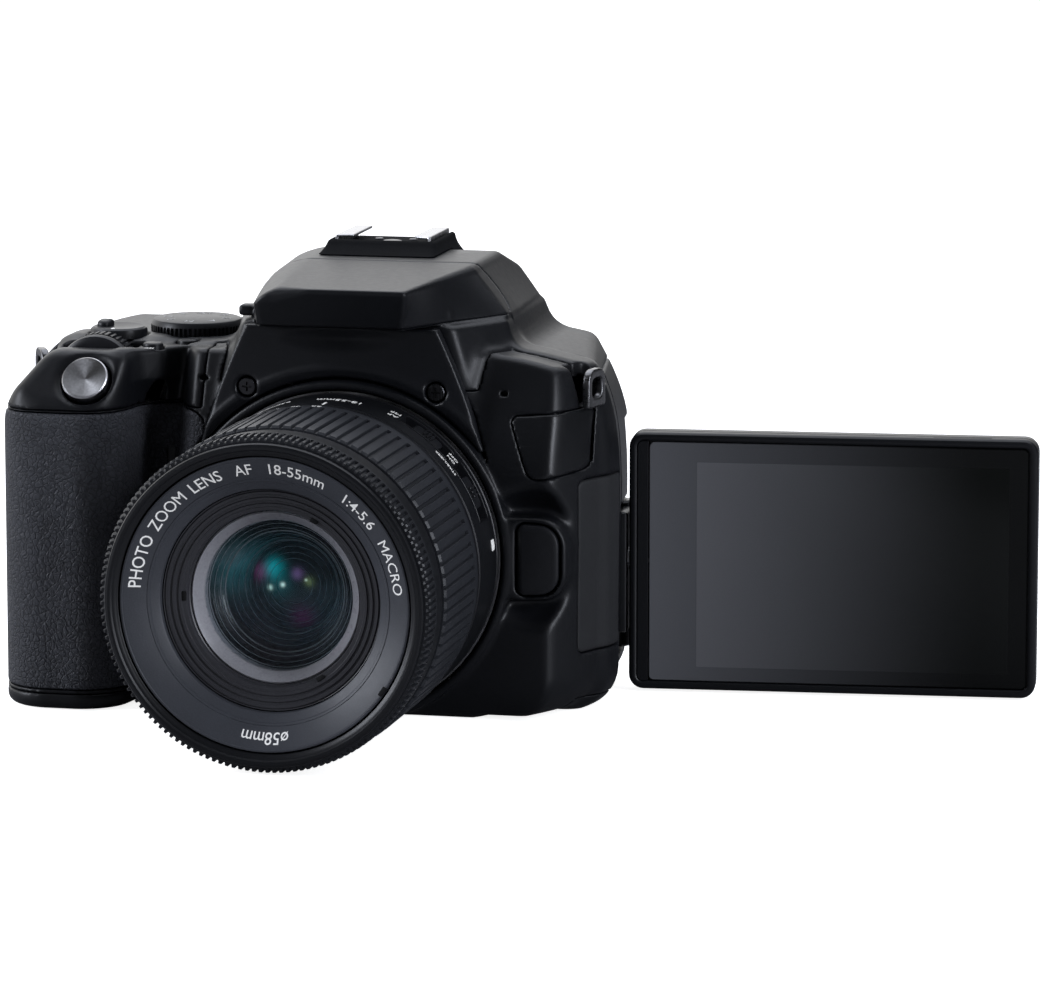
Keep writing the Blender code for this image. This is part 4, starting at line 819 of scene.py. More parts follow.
def front_cut(x, y, z, e):
    shell = cover_shell(x, y, z, e)
    zone = np.maximum(np.maximum(-top_zone(x, y, z) + SEAM, y - 35.85), -base_zone(x, y, z) + SEAM)
    shell = rmax(0.3, shell, zone)
    shell = drill(shell, skin_space(rubber_zone(x, y, z, 0.12), e, 1.35), skin_space(badge_zone(x, y, z, 0.16), e, 1.1),
                  skin_space(remote_zone(x, y, z, 0.14), e, 1.6), skin_space(port_zone(x, y, z, 0.14), e, 1.6), r=0.3)
    release = np.maximum(polygon(rounded(RELEASE), x, z) - 0.4, np.maximum(y - 9.0, 30.0 - x))
    pin = np.hypot(x - 30.0, z - AXIS_Z) - 1.9
    mic = np.maximum(slot_hole(x, z, 32.3, 65.5, 0.45, 0.42), y - 12.0)
    mic_left = np.maximum(slot_hole(x, z, -29.6, 66.6, 0.45, 0.42), y - 16.0)
    shell = drill(shell, release, np.maximum(pin, y - 10.0), lug_notch(x, y, z), r=0.5)
    shell = rmax(0.4, shell, -rbox(x, y, z, (-90, 9.4, 62.4), (-63.0, 19.0, 90), 0.9))
    shell = np.maximum(shell, -np.maximum(mic, -1.5 - e))
    shell = np.maximum(shell, -np.maximum(mic_left, -1.5 - e))
    return np.maximum(shell, -apron(x, y, z, 0.12))


def top_cut(x, y, z, e):
    shell = rmax(0.3, cover_shell(x, y, z, e), top_zone(x, y, z) + SEAM)
    across, height = along_shutter(x, y, z)
    dish = np.sqrt(across ** 2 + (height - 9.4) ** 2) - 11.4
    well = np.hypot(x + 37.4, y - 28.5)
    power = np.hypot(x + 51.0, y - 18.0)
    slots = [np.maximum(slot_hole(x, y, 35.2 + 1.9 * i, 24.4 + 0.5 * i, 0.75, 0.32, 62), 70 - z) for i in range(3)]
    slots.append(np.maximum(slot_hole(x, y, 42.2, 26.2, 1.5, 0.25, 12), 68 - z))
    shell = drill(shell, dish, np.maximum(across - 5.15, -7 - height),
                  np.maximum(well - 10.1, TOP_Z - z), np.maximum(power - 6.3, TOP_Z - 0.25 - z),
                  rbox(x, y, z, (-61.2, 4.9, 57), (-43.6, 12.5, 95), 0.5),
                  lug_notch(x, y, z),
                  rbox(x, y, z, (-90, 9.4, 62.4), (-63.0, 19.0, 90), 0.9),
                  np.hypot(x + 41.4, y - 9.6) - 2.4, np.hypot(x + 35.8, y - 15.6) - 2.4,
                  rbox(x, y, z, (-11.5, 50, 69), (11.5, 70, 81), 1.5),
                  np.maximum(np.hypot(x + 22.6, z - 75.5) - 3.3, 48 - y))
    for i, slot in enumerate(slots):
        shell = np.maximum(shell, -np.maximum(slot, -1.6 - e))
    mic_left = np.maximum(slot_hole(x, z, -29.6, 66.6, 0.45, 0.42), y - 16.0)
    shell = np.maximum(shell, -np.maximum(mic_left, -1.5 - e))
    return np.maximum(shell, -apron(x, y, z, 0.12))


BACK_BUTTONS = (
    ("menu_button", 40.5, 60.2, 2.7), ("info_button", 31.5, 60.2, 2.7), ("live_view_button", -29.0, 60.5, 3.0),
    ("exposure_button", -45.0, 52.2, 2.7), ("ae_lock_button", -55.0, 62.3, 2.4), ("af_point_button", -62.8, 61.0, 2.4),
    ("playback_button", -47.4, 13.6, 2.7), ("erase_button", -58.6, 13.6, 2.7),
)
PAD_X, PAD_Z = -53.0, 31.0


def rear_cut(x, y, z, e):
    zone = np.maximum(np.maximum(35.95 - y, -np.maximum(66.0 - z, 0 * x) + SEAM), 3.3 + SEAM - z)
    shell = rmax(0.3, cover_shell(x, y, z, e), np.maximum(zone, z - 66.0 + SEAM))
    shell = drill(shell, skin_space(port_zone(x, y, z, 0.14), e, 1.6))
    holes = [np.maximum(np.hypot(x - bx, z - bz) - r - 0.3, 50 - y) for _, bx, bz, r in BACK_BUTTONS]
    holes.append(np.maximum(np.hypot(x - PAD_X, z - PAD_Z) - 9.1, 50 - y))
    thumb = np.sqrt((x + 56.5) ** 2 / 2.2 + (y - 66.0) ** 2 * 1.0 + (z - 50.0) ** 2 / 1.6) - 8.9
    return rmax(0.6, drill(shell, *holes), -thumb)


def base_cut(x, y, z, e):
    shell = rmax(0.3, cover_shell(x, y, z, e), base_zone(x, y, z) + SEAM)
    door = rbox(x, y, z, (-66.2, 0.8, -9), (-47.0, 38.7, 9), 0.6)
    bush = np.hypot(x, y - 24.0) - 5.4
    return drill(shell, door, bush + 0 * z, r=0.3)


def flash_cut(x, y, z, e):
    high = hump_high(x, y, z)
    zone = flash_zone(x, y, z, 0.0)
    pocket = np.maximum(np.maximum(high + 2.0, y - 14.5), 78.0 - z)
    lamp = rbox(x, y, z, (-11.5, -6.2, 80.0), (11.5, 5.0, 87.5), 0.6)
    pocket = np.maximum(pocket, -lamp)
    tabs = rbox(np.abs(x + 0.75) + 0.75, y, z, (19.6, 6.2, 79.35), (22.6, 9.8, 81.6), 0.7)
    field = rmax(0.35, high, zone)
    field = smin(np.maximum(field, -pocket), tabs, 0.8)
    window = rbox(x, y, z, (-9.5, -4.6, 70), (9.5, 3.4, 80.5), 0.2)
    return np.maximum(field, -window)


print("body field ready")
piece("front_shell", carve("front_shell", (-72, -9.5, -1.4), (53.6, 37, 74), front_cut), "camera_body", SHELL,
      ("front_cover",), 0)
piece("top_shell", carve("top_shell", (-72, -10, 60), (53.6, 59.4, 91), top_cut), "camera_body", SHELL,
      ("top_cover",), 0)
piece("rear_shell", carve("rear_shell", (-72, 35, 2), (53.6, 59.4, 67), rear_cut), "camera_body", SHELL,
      ("rear_cover",), 0)
piece("base_shell", carve("base_shell", (-72, -9.5, -1.4), (53.6, 59.4, 4.2), base_cut), "camera_body", SHELL,
      ("bottom_cover",), 0)
piece("grip_skin", carve("grip_skin", (-72, -9.5, 3.4), (-27.5, 16, 61.4),
                         lambda x, y, z, e: rmax(0.5, e, -(e + 1.2), rubber_zone(x, y, z))),
      "camera_body", RUBBER, ("grip_rubber",), 0)
piece("apron_plate", carve("apron_plate", (-31, -2, 54), (31, 4.4, 79.4), lambda x, y, z, e: drill(
    apron(x, y, z), np.maximum(np.hypot(np.abs(x) - 19.4, z - 65.9) - 2.2, y - 2.2)), 0.7),
      "camera_body", PLATE, ("front_plate",), 0)
piece("flash_lid", local("flash_lid", (-32, -12.6, 78.0), (32, 27.6, 91.2), 0.4,
                         lambda x, y, z: flash_cut(x, y, z, None), 0.5), "flash", SHELL, ("flash_head",), 0)
piece("badge", carve("badge", (32, -1, 47), (50.5, 22, 64), lambda x, y, z, e: rmax(
    0.3, e - 0.1, -(e + 1.0), badge_zone(x, y, z)), 0.8), "camera_body", SHELL_SMOOTH, ("badge_plate",), 0)
piece("remote_flap", carve("remote_flap", (44, -1, 12), (53.6, 24.4, 49), lambda x, y, z, e: rmax(
    0.35, e + 0.3, -(e + 1.5), remote_zone(x, y, z)), 0.8), "remote_cover", SOFT, ("remote_cover",), 0)
piece("video_flap", carve("video_flap", (-72, 25, 18), (-64, 46, 52), lambda x, y, z, e: rmax(
    0.35, e, -(e + 1.4), port_zone(x, y, z)), 0.8), "hdmi_cover", SOFT, ("hdmi_cover",), 0)
print("covers ready")

for name, mat in (("chassis", DARK_METAL), ("battery", CELL), ("image_sensor", SENSOR), ("shutter_frame", DARK_METAL),
                  ("shutter_curtain", GLOSS), ("reflex_mirror", MIRROR), ("sub_mirror", MIRROR),
                  ("pentamirror", MIRROR), ("focusing_screen", EYE_GLASS), ("eyepiece_lens", EYE_GLASS)):
    finish_node(name, mat)
for name in ("lens_lock_pin", "plate_screw_left", "plate_screw_right"):
    finish_node(name, STEEL if "pin" in name else DARK_METAL, 0.12)

# ------------------------------------------------------------------ lens
LENS = (0, 0, AXIS_Z)


def teeth(count, duty, depth, y0, y1, phase=0.0):
    """Radius change that cuts count axial slots between two heights."""
    def wave(radius, height, angles):
        r = np.full(len(angles), radius, float)
        if y0 <= height <= y1:
            share = (angles * count / (2 * math.pi) + phase) % 1.0
            r -= depth * (share < duty)
        return r
    return wave


def switch_beds(radius, height, angles):
    r = np.full(len(angles), radius, float)
    if -10.75 < height < -4.65 and radius > 31:
        for centre in (52.0, 27.0):
            off = np.abs((np.degrees(angles) - centre + 180) % 360 - 180)
            r = np.where(off < 10.3, 30.9, r)
    return r


barrel_outline = [(26.3, 4.6), (24.8, 4.6), (24.8, -2.0), (27.6, -2.6), (27.6, -44.5), (29.8, -44.5), (29.8, -21.6),
                  (32.0, -21.6), (32.3, -21.2), (32.3, -17.0), (32.1, -16.8), (32.1, -16.4), (32.4, -16.2),
                  (32.4, -10.8), (32.4, -10.7), (32.4, -4.7), (32.4, -4.6), (32.4, -2.0), (32.15, -1.8),
                  (32.15, -1.4), (32.4, -1.2), (32.4, -0.8), (31.9, -0.3), (26.3, -0.3)]
piece("rear_barrel", lathe("rear_barrel", barrel_outline, LENS, steps=360, wave=switch_beds, closed=True),
      "camera_body", LENS_MAT, ("lens_barrel",), 28)
piece("mount_plate", lathe("mount_plate", [(32.7, 0.0), (32.7, 2.4), (27.0, 2.4), (27.0, 0.3), (27.4, 0.0)], LENS,
                           steps=96, closed=True), "camera_body", STEEL, ("mount_ring",))

zoom_rows = [(30.2, -46.9), (30.2, -19.6), (32.3, -19.6), (32.75, -20.0), (32.75, -22.0), (32.95, -22.3),
             (32.95, -23.2), (32.95, -23.3), (32.95, -23.9), (32.95, -46.0), (32.85, -46.5), (32.4, -46.9)]
piece("zoom_grip", lathe("zoom_grip", [(r, h) for r, h in zoom_rows], LENS, steps=89 * 10,
                         wave=lambda r, h, a: teeth(89, 0.29, 0.65, -46.6, -23.25)(r, h, a) if r > 31 else
                         np.full(len(a), r), closed=True), "zoom_ring", RIB, ("zoom_ring",), 28)

rim = [(29.9, -47.3), (31.7, -47.3), (32.2, -47.8), (32.2, -52.3), (31.8, -52.8), (30.6, -52.9), (30.6, -58.9),
       (31.2, -58.95), (31.4, -59.2), (31.4, -59.7), (31.2, -60.05), (30.7, -60.2), (30.2, -60.1), (29.9, -59.75),
       (29.5, -59.6), (29.3, -59.4), (28.95, -59.2), (29.25, -58.95), (28.95, -58.7), (29.25, -58.45), (28.95, -58.2),
       (29.25, -57.95), (28.95, -57.7), (29.25, -57.45), (28.9, -57.1), (28.7, -56.9), (28.7, -54.2), (27.4, -54.2),
       (27.4, -16.2), (27.0, -16.0), (24.4, -16.0), (24.2, -16.2), (24.2, -48.0), (27.0, -49.0), (29.9, -49.4)]
piece("front_rim", lathe("front_rim", rim, LENS, steps=160, closed=True), "front_barrel", LENS_MAT,
      ("front_barrel",), 26)
name_outline = [(28.65, -54.4), (28.65, -58.6), (28.5, -58.9), (28.2, -58.9), (28.05, -58.7), (27.8, -58.6),
                (24.0, -56.03), (23.9, -56.1), (23.5, -55.85), (23.4, -55.6), (22.1, -54.75), (21.8, -54.5),
                (21.7, -53.4), (27.5, -53.4)]
piece("name_ring", lathe("name_ring", name_outline, LENS, steps=160, closed=True), "front_barrel", NAME_RING,
      (), 26)


def ridges(r0, y0, r1, y1, count, height):
    """Stepped concentric ridges from one radius to another."""
    out = []
    for i in range(count):
        a, b = i / count, (i + 0.55) / count
        for t, lift in ((a, 0.0), (a + 0.12 / count, -height), (b, -height), (b + 0.12 / count, 0.0)):
            out.append((r0 + (r1 - r0) * t, y0 + (y1 - y0) * t + lift))
    return out


baffle = [(21.5, -53.2)] + ridges(21.2, -53.0, 17.6, -52.2, 3, 0.28)
baffle += [(17.3, -52.1), (17.15, -51.8), (17.15, -50.4), (16.95, -50.2)]
piece("baffle_rings", lathe("baffle_rings", baffle + [(16.95, -46.2), (21.5, -46.2)], LENS, steps=160, closed=True),
      "front_barrel", BAFFLE, (), 26)
cone = [(16.8, -50.1), (16.5, -50.3), (14.95, -48.6), (14.75, -48.2), (14.75, -45.4), (16.8, -45.4)]
piece("retaining_ring", lathe("retaining_ring", cone, LENS, steps=160, closed=True), "front_barrel", RETAIN,
      (), 26)
tube = [(14.7, -45.2)] + ridges(14.2, -45.0, 12.2, -43.4, 2, 0.3) + [(12.0, -43.2), (11.8, -42.0)]
tube += ridges(11.6, -41.6, 9.4, -38.4, 3, 0.35) + [(9.2, -38.0), (8.8, -36.4), (8.6, -35.6)]
tube += [(8.6, -33.0), (24.0, -33.0), (24.0, -45.2)]
# the tube's walls carry TUBE's painted reflections
piece("inner_tube", lathe("inner_tube", tube, LENS, steps=120, closed=True), "front_barrel", TUBE,
      (), 26)
# thin light rings on the inner ring edges and on the core element: painted highlights and painted reflections
for i, (r, h, wide) in enumerate(((14.5, -45.5, 0.10), (13.6, -45.0, 0.06), (12.6, -44.2, 0.07), (11.9, -43.3, 0.14),
                                  (11.0, -41.4, 0.05), (10.1, -40.2, 0.05), (9.3, -38.3, 0.12), (8.75, -36.4, 0.05),
                                  (7.6, -36.15, 0.05), (6.4, -36.15, 0.04), (5.2, -36.15, 0.05), (3.6, -36.15, 0.04))):
    wire = [(r - wide, h), (r - wide * 0.5, h - wide), (r + wide * 0.5, h - wide), (r + wide, h), (r, h + 0.3)]
    piece(f"highlight_ring_{i}", lathe(f"highlight_ring_{i}", wire, LENS, steps=96, closed=True), "front_barrel", RING_HIGHLIGHT,
          (), 60)


def dome(name, radius, edge_y, apex_y, thick, mat, stands_for=()):
    """Spherical glass element seen from the front."""
    rise = edge_y - apex_y
    big = (radius ** 2 + rise ** 2) / (2 * rise)
    profile = [(radius, edge_y + thick)]
    for k in range(13):
        r = radius * math.cos(k / 12 * math.pi / 2 * 0.995)
        profile.append((max(r, 0.05), apex_y + big - math.sqrt(big ** 2 - r ** 2)))
    profile.append((0.05, edge_y + thick))
    return piece(name, lathe(name, profile[::-1], LENS, steps=120), "front_barrel", mat, stands_for, 50)


dome("front_glass", 14.7, -47.6, -50.6, 1.2, FRONT_GLASS, ("front_element",))
dome("second_glass", 11.7, -42.4, -44.8, 0.8, MID_GLASS)
# the innermost element is an opaque black disc carrying CORE's painted reflections
dome("core_glass", 8.6, -35.0, -36.1, 0.8, CORE)
# dark pads on the rim and retaining ring: painted shade where the rings have notches
for spot, (angle, r, y, wide) in enumerate(((-34, 28.0, -58.95, 1.0), (62, 17.6, -52.3, 0.8), (-58, 17.6, -52.3, 0.8),
                                            (180, 17.6, -52.3, 0.9))):
    a = math.radians(angle)
    turn = Matrix.Rotation(-a, 3, "Y")
    mesh = levels_mesh(f"key_notch_{spot}", [(r - 0.45, -wide, 0.1), (r + 0.45, -wide, 0.1), (r + 0.45, wide, 0.1),
                                             (r - 0.45, wide, 0.1)], [(0.0, 0.0), (-0.2, 0.0), (-0.25, 0.06)], steps=2)
    co = np.array([v.co for v in mesh.vertices]) / MM
    co = co @ np.array(turn).T
    mesh.vertices.foreach_set("co", ((co + [0, y + FLANGE * 0, AXIS_Z]) * MM).astype(f32).ravel())
    piece(f"key_notch_{spot}", mesh, "front_barrel", NOTCH_SHADE, ())

focus_rows = [(30.9, -58.7), (30.9, -53.1), (32.2, -53.1), (32.6, -53.4), (32.65, -54.3), (32.65, -54.4), (32.7, -54.5),
              (32.7, -58.0), (32.6, -58.4), (32.3, -58.7)]
piece("focus_grip", lathe("focus_grip", focus_rows, LENS, steps=150 * 8,
                          wave=lambda r, h, a: teeth(150, 0.5, 0.6, -58.75, -54.45, 0.01)(r, h, a) if r > 31 else
                          np.full(len(a), r), closed=True), "focus_ring", BAND, ("focus_ring",), 28)


def on_lens(radius, angle, y, up_front=True):
    """Where flat lettering lands on the lens's side."""
    way = 1.0 if up_front else -1.0

    def place(p):
        a = math.radians(angle) + way * p[:, 0] / radius
        r = radius + p[:, 2]
        return np.stack([r * np.cos(a), y - way * p[:, 1], AXIS_Z + r * np.sin(a)], 1)
    return place


def round_front(radius, angle, plane):
    """Where flat lettering lands on a ring that faces forwards; plane(r) is its height."""
    def place(p):
        r = radius + p[:, 1]
        a = math.radians(angle) - p[:, 0] / radius
        return np.stack([r * np.cos(a), plane(r) - p[:, 2], AXIS_Z + r * np.sin(a)], 1)
    return place


def name_plane(r):
    return -58.6 + (27.8 - r) * 0.675


for i, (word, angle) in enumerate((("PHOTO", 163.5), ("ZOOM", 138.2), ("LENS", 117.0), ("AF", 99.5), ("18-55mm", 76.5),
                                   ("1:4-5.6", 45.6), ("MACRO", 18.0), ("\u00f858mm", -91.0))):
    lettering(f"ring_text_{i}", word, 3.1, round_front(26.0, angle, name_plane), "front_barrel", WHITE,
              0.0 if "M" in word else 0.012)
for i, (word, angle) in enumerate((("18", 121.0), ("24", 112.5), ("35", 104.0), ("45", 96.5), ("55", 89.0))):
    lettering(f"zoom_text_{i}", word, 2.1, on_lens(32.76, angle, -21.0), "zoom_ring", WHITE)
for i, (word, size, angle, y) in enumerate((
        ("18-55mm", 2.5, 86.0, -9.0), ("0.25m/0.8ft", 1.7, 112.0, -6.5), ("AF", 1.9, 66.2, -9.2), ("MF", 1.9, 66.2, -6.4),
        ("STABILIZER", 1.25, 40.6, -12.2), ("ON", 1.5, 40.6, -8.2), ("OFF", 1.5, 40.6, -6.0))):
    lettering(f"barrel_text_{i}", word, size, on_lens(32.42, angle, y), "camera_body", WHITE)


def arc_block(name, angle0, angle1, y0, y1, r0, r1, body, mat, bevel=0.2, stands_for=()):
    """Curved block that follows the lens's side."""
    rows = []
    steps = max(int(abs(angle1 - angle0)), 3)
    for k in range(steps + 1):
        a = math.radians(angle0 + (angle1 - angle0) * k / steps)
        end = bevel if k in (0, steps) else 0.0
        section = [(r0, y0 + end), (r1 - bevel - end * 0.5, y0 + end), (r1 - end * 0.6, y0 + bevel + end),
                   (r1 - end * 0.6, y1 - bevel - end), (r1 - bevel - end * 0.5, y1 - end), (r0, y1 - end)]
        rows.append([(r * math.cos(a), y, AXIS_Z + r * math.sin(a)) for r, y in section])
    return piece(name, rows_mesh(name, rows), body, mat, stands_for, 30)


for label, angle in (("af_switch", 52.0), ("stabiliser_switch", 27.0)):
    arc_block(label + "_slide", angle - 5.9, angle + 5.9, -10.3, -5.1, 31.15, 32.3, label, BUTTON, 0.25, (label,))
    for k in range(3):
        mid = angle + (k - 1) * 1.5
        arc_block(f"{label}_rib_{k}", mid - 0.4, mid + 0.4, -9.3, -6.1, 32.2, 32.85, label, BUTTON, 0.12)
    arc_block(label + "_frame_rear", angle - 10.6, angle + 10.6, -4.5, -4.2, 32.2, 32.6, "camera_body", LENS_MAT, 0.08)
    arc_block(label + "_frame_front", angle - 10.6, angle + 10.6, -11.2, -10.9, 32.2, 32.6, "camera_body", LENS_MAT, 0.08)
arc_block("mount_index", 4.6, 8.4, -5.6, -3.6, 32.2, 32.55, "camera_body", WHITE, 0.1)
arc_block("zoom_index", 88.6, 89.4, -16.0, -13.2, 32.2, 32.46, "camera_body", WHITE, 0.04)

# ------------------------------------------------------------------ screen
SWING = (47.0, 47.0)
U0, U1, V0, V1 = 50.3, 133.4, 36.0, 43.5
PANEL = [(U0, 0.5, 3.0), (U1, 0.5, 3.0), (U1, 53.65, 3.0), (U0, 53.65, 3.0)]


def swing_open(mesh):
    """From the panel's own frame to where it stands open."""
    pivot = Matrix.Translation(world([SWING + (0,)])[0])
    mesh.transform(pivot @ Matrix.Rotation(math.radians(5.0), 4, "Z") @ pivot.inverted())
    return mesh


housing_levels = [(V0 + 1.4, 1.75), (V0 + 0.35, 1.7), (V0 + 0.12, 1.45), (V0, 1.2), (V0, 0.9), (V0 + 0.15, 0.4),
                  (V0 + 0.5, 0.1), (V0 + 0.9, 0.0), (V0 + 2.6, 0.0), (V0 + 2.75, 0.18), (V0 + 2.95, 0.18),
                  (V0 + 3.1, 0.0), (V1 - 1.7, 0.0), (V1 - 0.8, 0.35), (V1 - 0.25, 1.0), (V1, 2.0), (V1, 5.6),
                  (V1 - 0.35, 6.0)]
housing = swing_open(levels_mesh("screen_housing", PANEL, housing_levels, steps=7))
piece("screen_housing", housing, "screen", SHELL, ("lcd_housing",), 28)
glass_levels = [(V0 + 1.3, 1.95), (V0 + 0.35, 1.95), (V0 + 0.2, 2.1), (V0 + 0.2, 3.0)]
PANE = [(U0 + 2.2, 0.5, 3.0), (U1, 0.5, 3.0), (U1, 53.65, 3.0), (U0 + 2.2, 53.65, 3.0)]
STRIP = [(U0 + 1.8, 2.3, 1.3), (U0 + 3.95, 2.3, 0.3), (U0 + 3.95, 51.85, 0.3), (U0 + 1.8, 51.85, 1.3)]
piece("screen_side_strip", swing_open(levels_mesh("screen_side_strip", STRIP, [(V0 + 1.3, 0.0), (V0 + 0.14, 0.0), (V0 + 0.08, 0.06)],
                                                  steps=4)), "screen", SHELL, (), 28)
piece("screen_cover_glass", swing_open(levels_mesh("screen_cover_glass", PANE, glass_levels, steps=7)), "screen",
      SCREEN_MAT, ("lcd_glass",), 28)
VIEW = [(64.2, 5.4, 0.2), (127.7, 5.4, 0.2), (127.7, 47.7, 0.2), (64.2, 47.7, 0.2)]
piece("display_area", swing_open(levels_mesh("display_area", VIEW, [(V0 + 0.3, 0.0), (V0 + 0.185, 0.0), (V0 + 0.18, 0.02)],
                                             steps=2)), "screen", FILM, (), 28)
piece("screen_label_pocket", swing_open(levels_mesh(
    "screen_label_pocket", [(112.0, 53.0, 0.1), (124.0, 53.0, 0.1), (124.0, 53.75 - 0.08, 0.1), (112.0, 53.67, 0.1)],
    [(V0 + 1.4, 0.0), (V0 + 2.2, 0.0)], steps=2)), "screen", SOFT, ())
knuckle = [(0.05, 7.6), (2.5, 7.6), (2.9, 8.0), (2.9, 14.8), (2.65, 15.0), (2.65, 15.5), (2.9, 15.7), (2.9, 29.9),
           (2.65, 30.1), (2.65, 30.6), (2.9, 30.8), (2.9, 37.6), (2.5, 38.0), (0.05, 38.0)]
piece("hinge_knuckle", swing_open(lathe("hinge_knuckle", knuckle, (*SWING, 0), "Z", 48)), "screen_arm", SHELL_SMOOTH,
      ("lcd_arm",), 28)
web = swing_open(levels_mesh("hinge_web", [(46.4, 36.6, 0.6), (49.9, 36.6, 0.6), (49.9, 46.5, 0.6), (46.4, 46.5, 0.6)],
                             [(12.0, 0.5), (12.3, 0.0), (36.7, 0.0), (37.0, 0.5)], "Z", 3))
piece("hinge_web", web, "screen_arm", SHELL_SMOOTH, ())
stub = [(0.05, 44.0), (2.4, 44.0), (2.4, 54.3), (2.1, 54.6), (0.05, 54.6)]
piece("hinge_pin", swing_open(lathe("hinge_pin", stub, (0, (V0 + V1) / 2, 27.075), "X", 40)), "screen_arm", STEEL, ())

# ------------------------------------------------------------------ top controls
def axis_shutter(name, profile, mat, body, stands_for=()):
    turn = shutter_turn @ np.eye(3)
    return piece(name, lathe(name, profile, shutter_at, "Z", 96, turn), body, mat, stands_for, 30)


axis_shutter("shutter_cap", [(0.05, -3.2), (4.8, -3.2), (4.8, 0.35), (4.7, 0.7), (4.45, 0.92), (4.1, 0.9), (0.3, 0.25),
                             (0.05, 0.24)], SPUN, "shutter_button", ("shutter_button",))
main = [(0.05, 5.4), (6.6, 5.4), (7.3, 5.5), (7.85, 5.9), (8.1, 6.5), (8.1, 7.3), (7.7, 7.5), (7.7, 7.8), (8.2, 8.0),
        (8.2, 11.5), (7.8, 12.0), (0.05, 12.0)]
piece("front_dial", lathe("front_dial", main, (-52.4, 0, 66.4), "Y", 44 * 6, wave=lambda r, h, a: teeth(
    44, 0.34, 0.55, 7.9, 11.9)(r, h, a) if r > 7.7 else np.full(len(a), r)), "main_dial", BUTTON, ("main_dial",),
      28)
power = [(0.05, 72.45), (5.3, 72.45), (5.8, 72.8), (5.8, 74.2), (5.6, 74.6), (5.1, 74.9), (4.6, 74.8), (0.05, 74.6)]
piece("power_disc", lathe("power_disc", power, (-51.0, 18.0, 0), "Z", 96), "power_switch", BUTTON, ("power_switch",),
      30)
lever = local("power_lever", (-57, 15.6, 73.6), (-51.4, 22.6, 76.6), 0.22, lambda x, y, z: rmax(
    0.7, polygon(rounded([(-55.9, 17.6, 1.2), (-53.2, 16.6, 1.2), (-52.4, 20.6, 1.4), (-54.8, 21.8, 1.4)]), x, y),
    z - 76.1 + 0.16 * np.abs(y - 19.4), 73.9 - z), 0.6)
piece("power_lever", lever, "power_switch", BUTTON, (), 0)
mode = [(0.05, 72.45), (9.0, 72.45), (9.2, 72.6), (9.2, 72.9), (9.5, 73.0), (9.5, 74.25), (9.42, 74.5), (9.2, 75.1),
        (8.9, 75.5), (8.5, 75.65), (0.05, 75.65)]
piece("mode_wheel", lathe("mode_wheel", mode, (-37.4, 28.5, 0), "Z", 60 * 6, wave=lambda r, h, a: teeth(
    60, 0.4, 0.4, 72.95, 74.3)(r, h, a) if r > 9.3 else np.full(len(a), r)), "mode_dial", BUTTON, ("mode_dial",),
      28)


def on_top(cx, cy, z, turn=0.0):
    """Lettering lying flat, its top edge forwards unless turned; read from behind the camera."""
    c, s = math.cos(math.radians(turn)), math.sin(math.radians(turn))

    def place(p):
        u, v = -p[:, 0], -p[:, 1]
        return np.stack([cx + u * c - v * s, cy + u * s + v * c, z + p[:, 2]], 1)
    return place


for i, word in enumerate(("M", "A", "S", "P", "A+", "1", "2", "3")):
    turn = i * 45.0
    a = math.radians(turn - 90.0)
    lettering(f"mode_text_{i}", word, 2.6, on_top(-37.4 + 6.1 * math.cos(a), 28.5 + 6.1 * math.sin(a), 75.66, turn),
              "mode_dial", GREY_INK)
for i, (word, size, cx, cy) in enumerate((("ON", 1.7, -45.8, 20.4), ("OFF", 1.7, -57.6, 24.4), ("ISO", 1.5, -41.4, 6.3),
                                          ("DISP", 1.4, -35.9, 19.3))):
    lettering(f"top_text_{i}", word, size, on_top(cx, cy, TOP_Z + 0.02), "camera_body", WHITE)
piece("power_mark", levels_mesh("power_mark", [(-51.3, 12.9, 0.1), (-50.7, 12.9, 0.1), (-50.7, 14.4, 0.1), (-51.3, 14.4, 0.1)],
                                [(74.7, 0.0), (74.95, 0.0), (74.97, 0.05)], "Z", 2), "power_switch", WHITE, ())
piece("mode_mark", levels_mesh("mode_mark", [(-26.9, 30.2, 0.1), (-25.2, 30.2, 0.1), (-25.2, 30.8, 0.1), (-26.9, 30.8, 0.1)],
                               [(71.9, 0.0), (TOP_Z + 0.06, 0.0)], "Z", 2), "camera_body", WHITE, ())


def dome_button(label, centre, radius, base, top, axis, mat=None, body=None, flat=0.55):
    """Round push button with a soft crown; base and top are heights along its axis."""
    way = 1 if top > base else -1
    profile = [(0.05, base), (radius, base), (radius, top - way * 0.55), (radius - 0.12, top - way * 0.25),
               (radius - 0.4, top - way * 0.05), (radius * flat, top), (0.05, top + way * 0.0)]
    return piece(label + "_cap", lathe(label + "_cap", profile, centre, axis, 48), body or label, mat or BUTTON,
                 (label,), 30)


dome_button("iso_button", (-41.4, 9.6, 0), 2.1, TOP_Z - 3.4, TOP_Z + 0.8, "Z")
dome_button("disp_button", (-35.8, 15.6, 0), 2.1, TOP_Z - 3.4, TOP_Z + 0.8, "Z")

# ------------------------------------------------------------------ shoe, lugs, finder
def plinth_field(x, y, z):
    t = np.clip((91.8 - z) / 3.7, 0, 1.3)
    front = (33.8 - 8.2 * t ** 1.7 - y) * 0.62
    side = (np.abs(x) - 11.3 - 1.8 * t ** 2.0) * 0.85
    out = rmax(0.6, smax(side, front, 0.8), z - 91.8, y - 52.6)
    out = rmax(0.25, out, -rbox(x, y, z, (-10.3, 34.9, 89.6), (10.3, 70, 99), 0.1))
    return np.maximum(out, -(hump_high(x, y, z) - 0.05))


piece("shoe_base", local("shoe_base", (-14, 24.2, 87.0), (14, 53.4, 92.4), 0.28, plinth_field, 0.4), "camera_body", PLINTH,
      ("shoe_plinth",), 0)


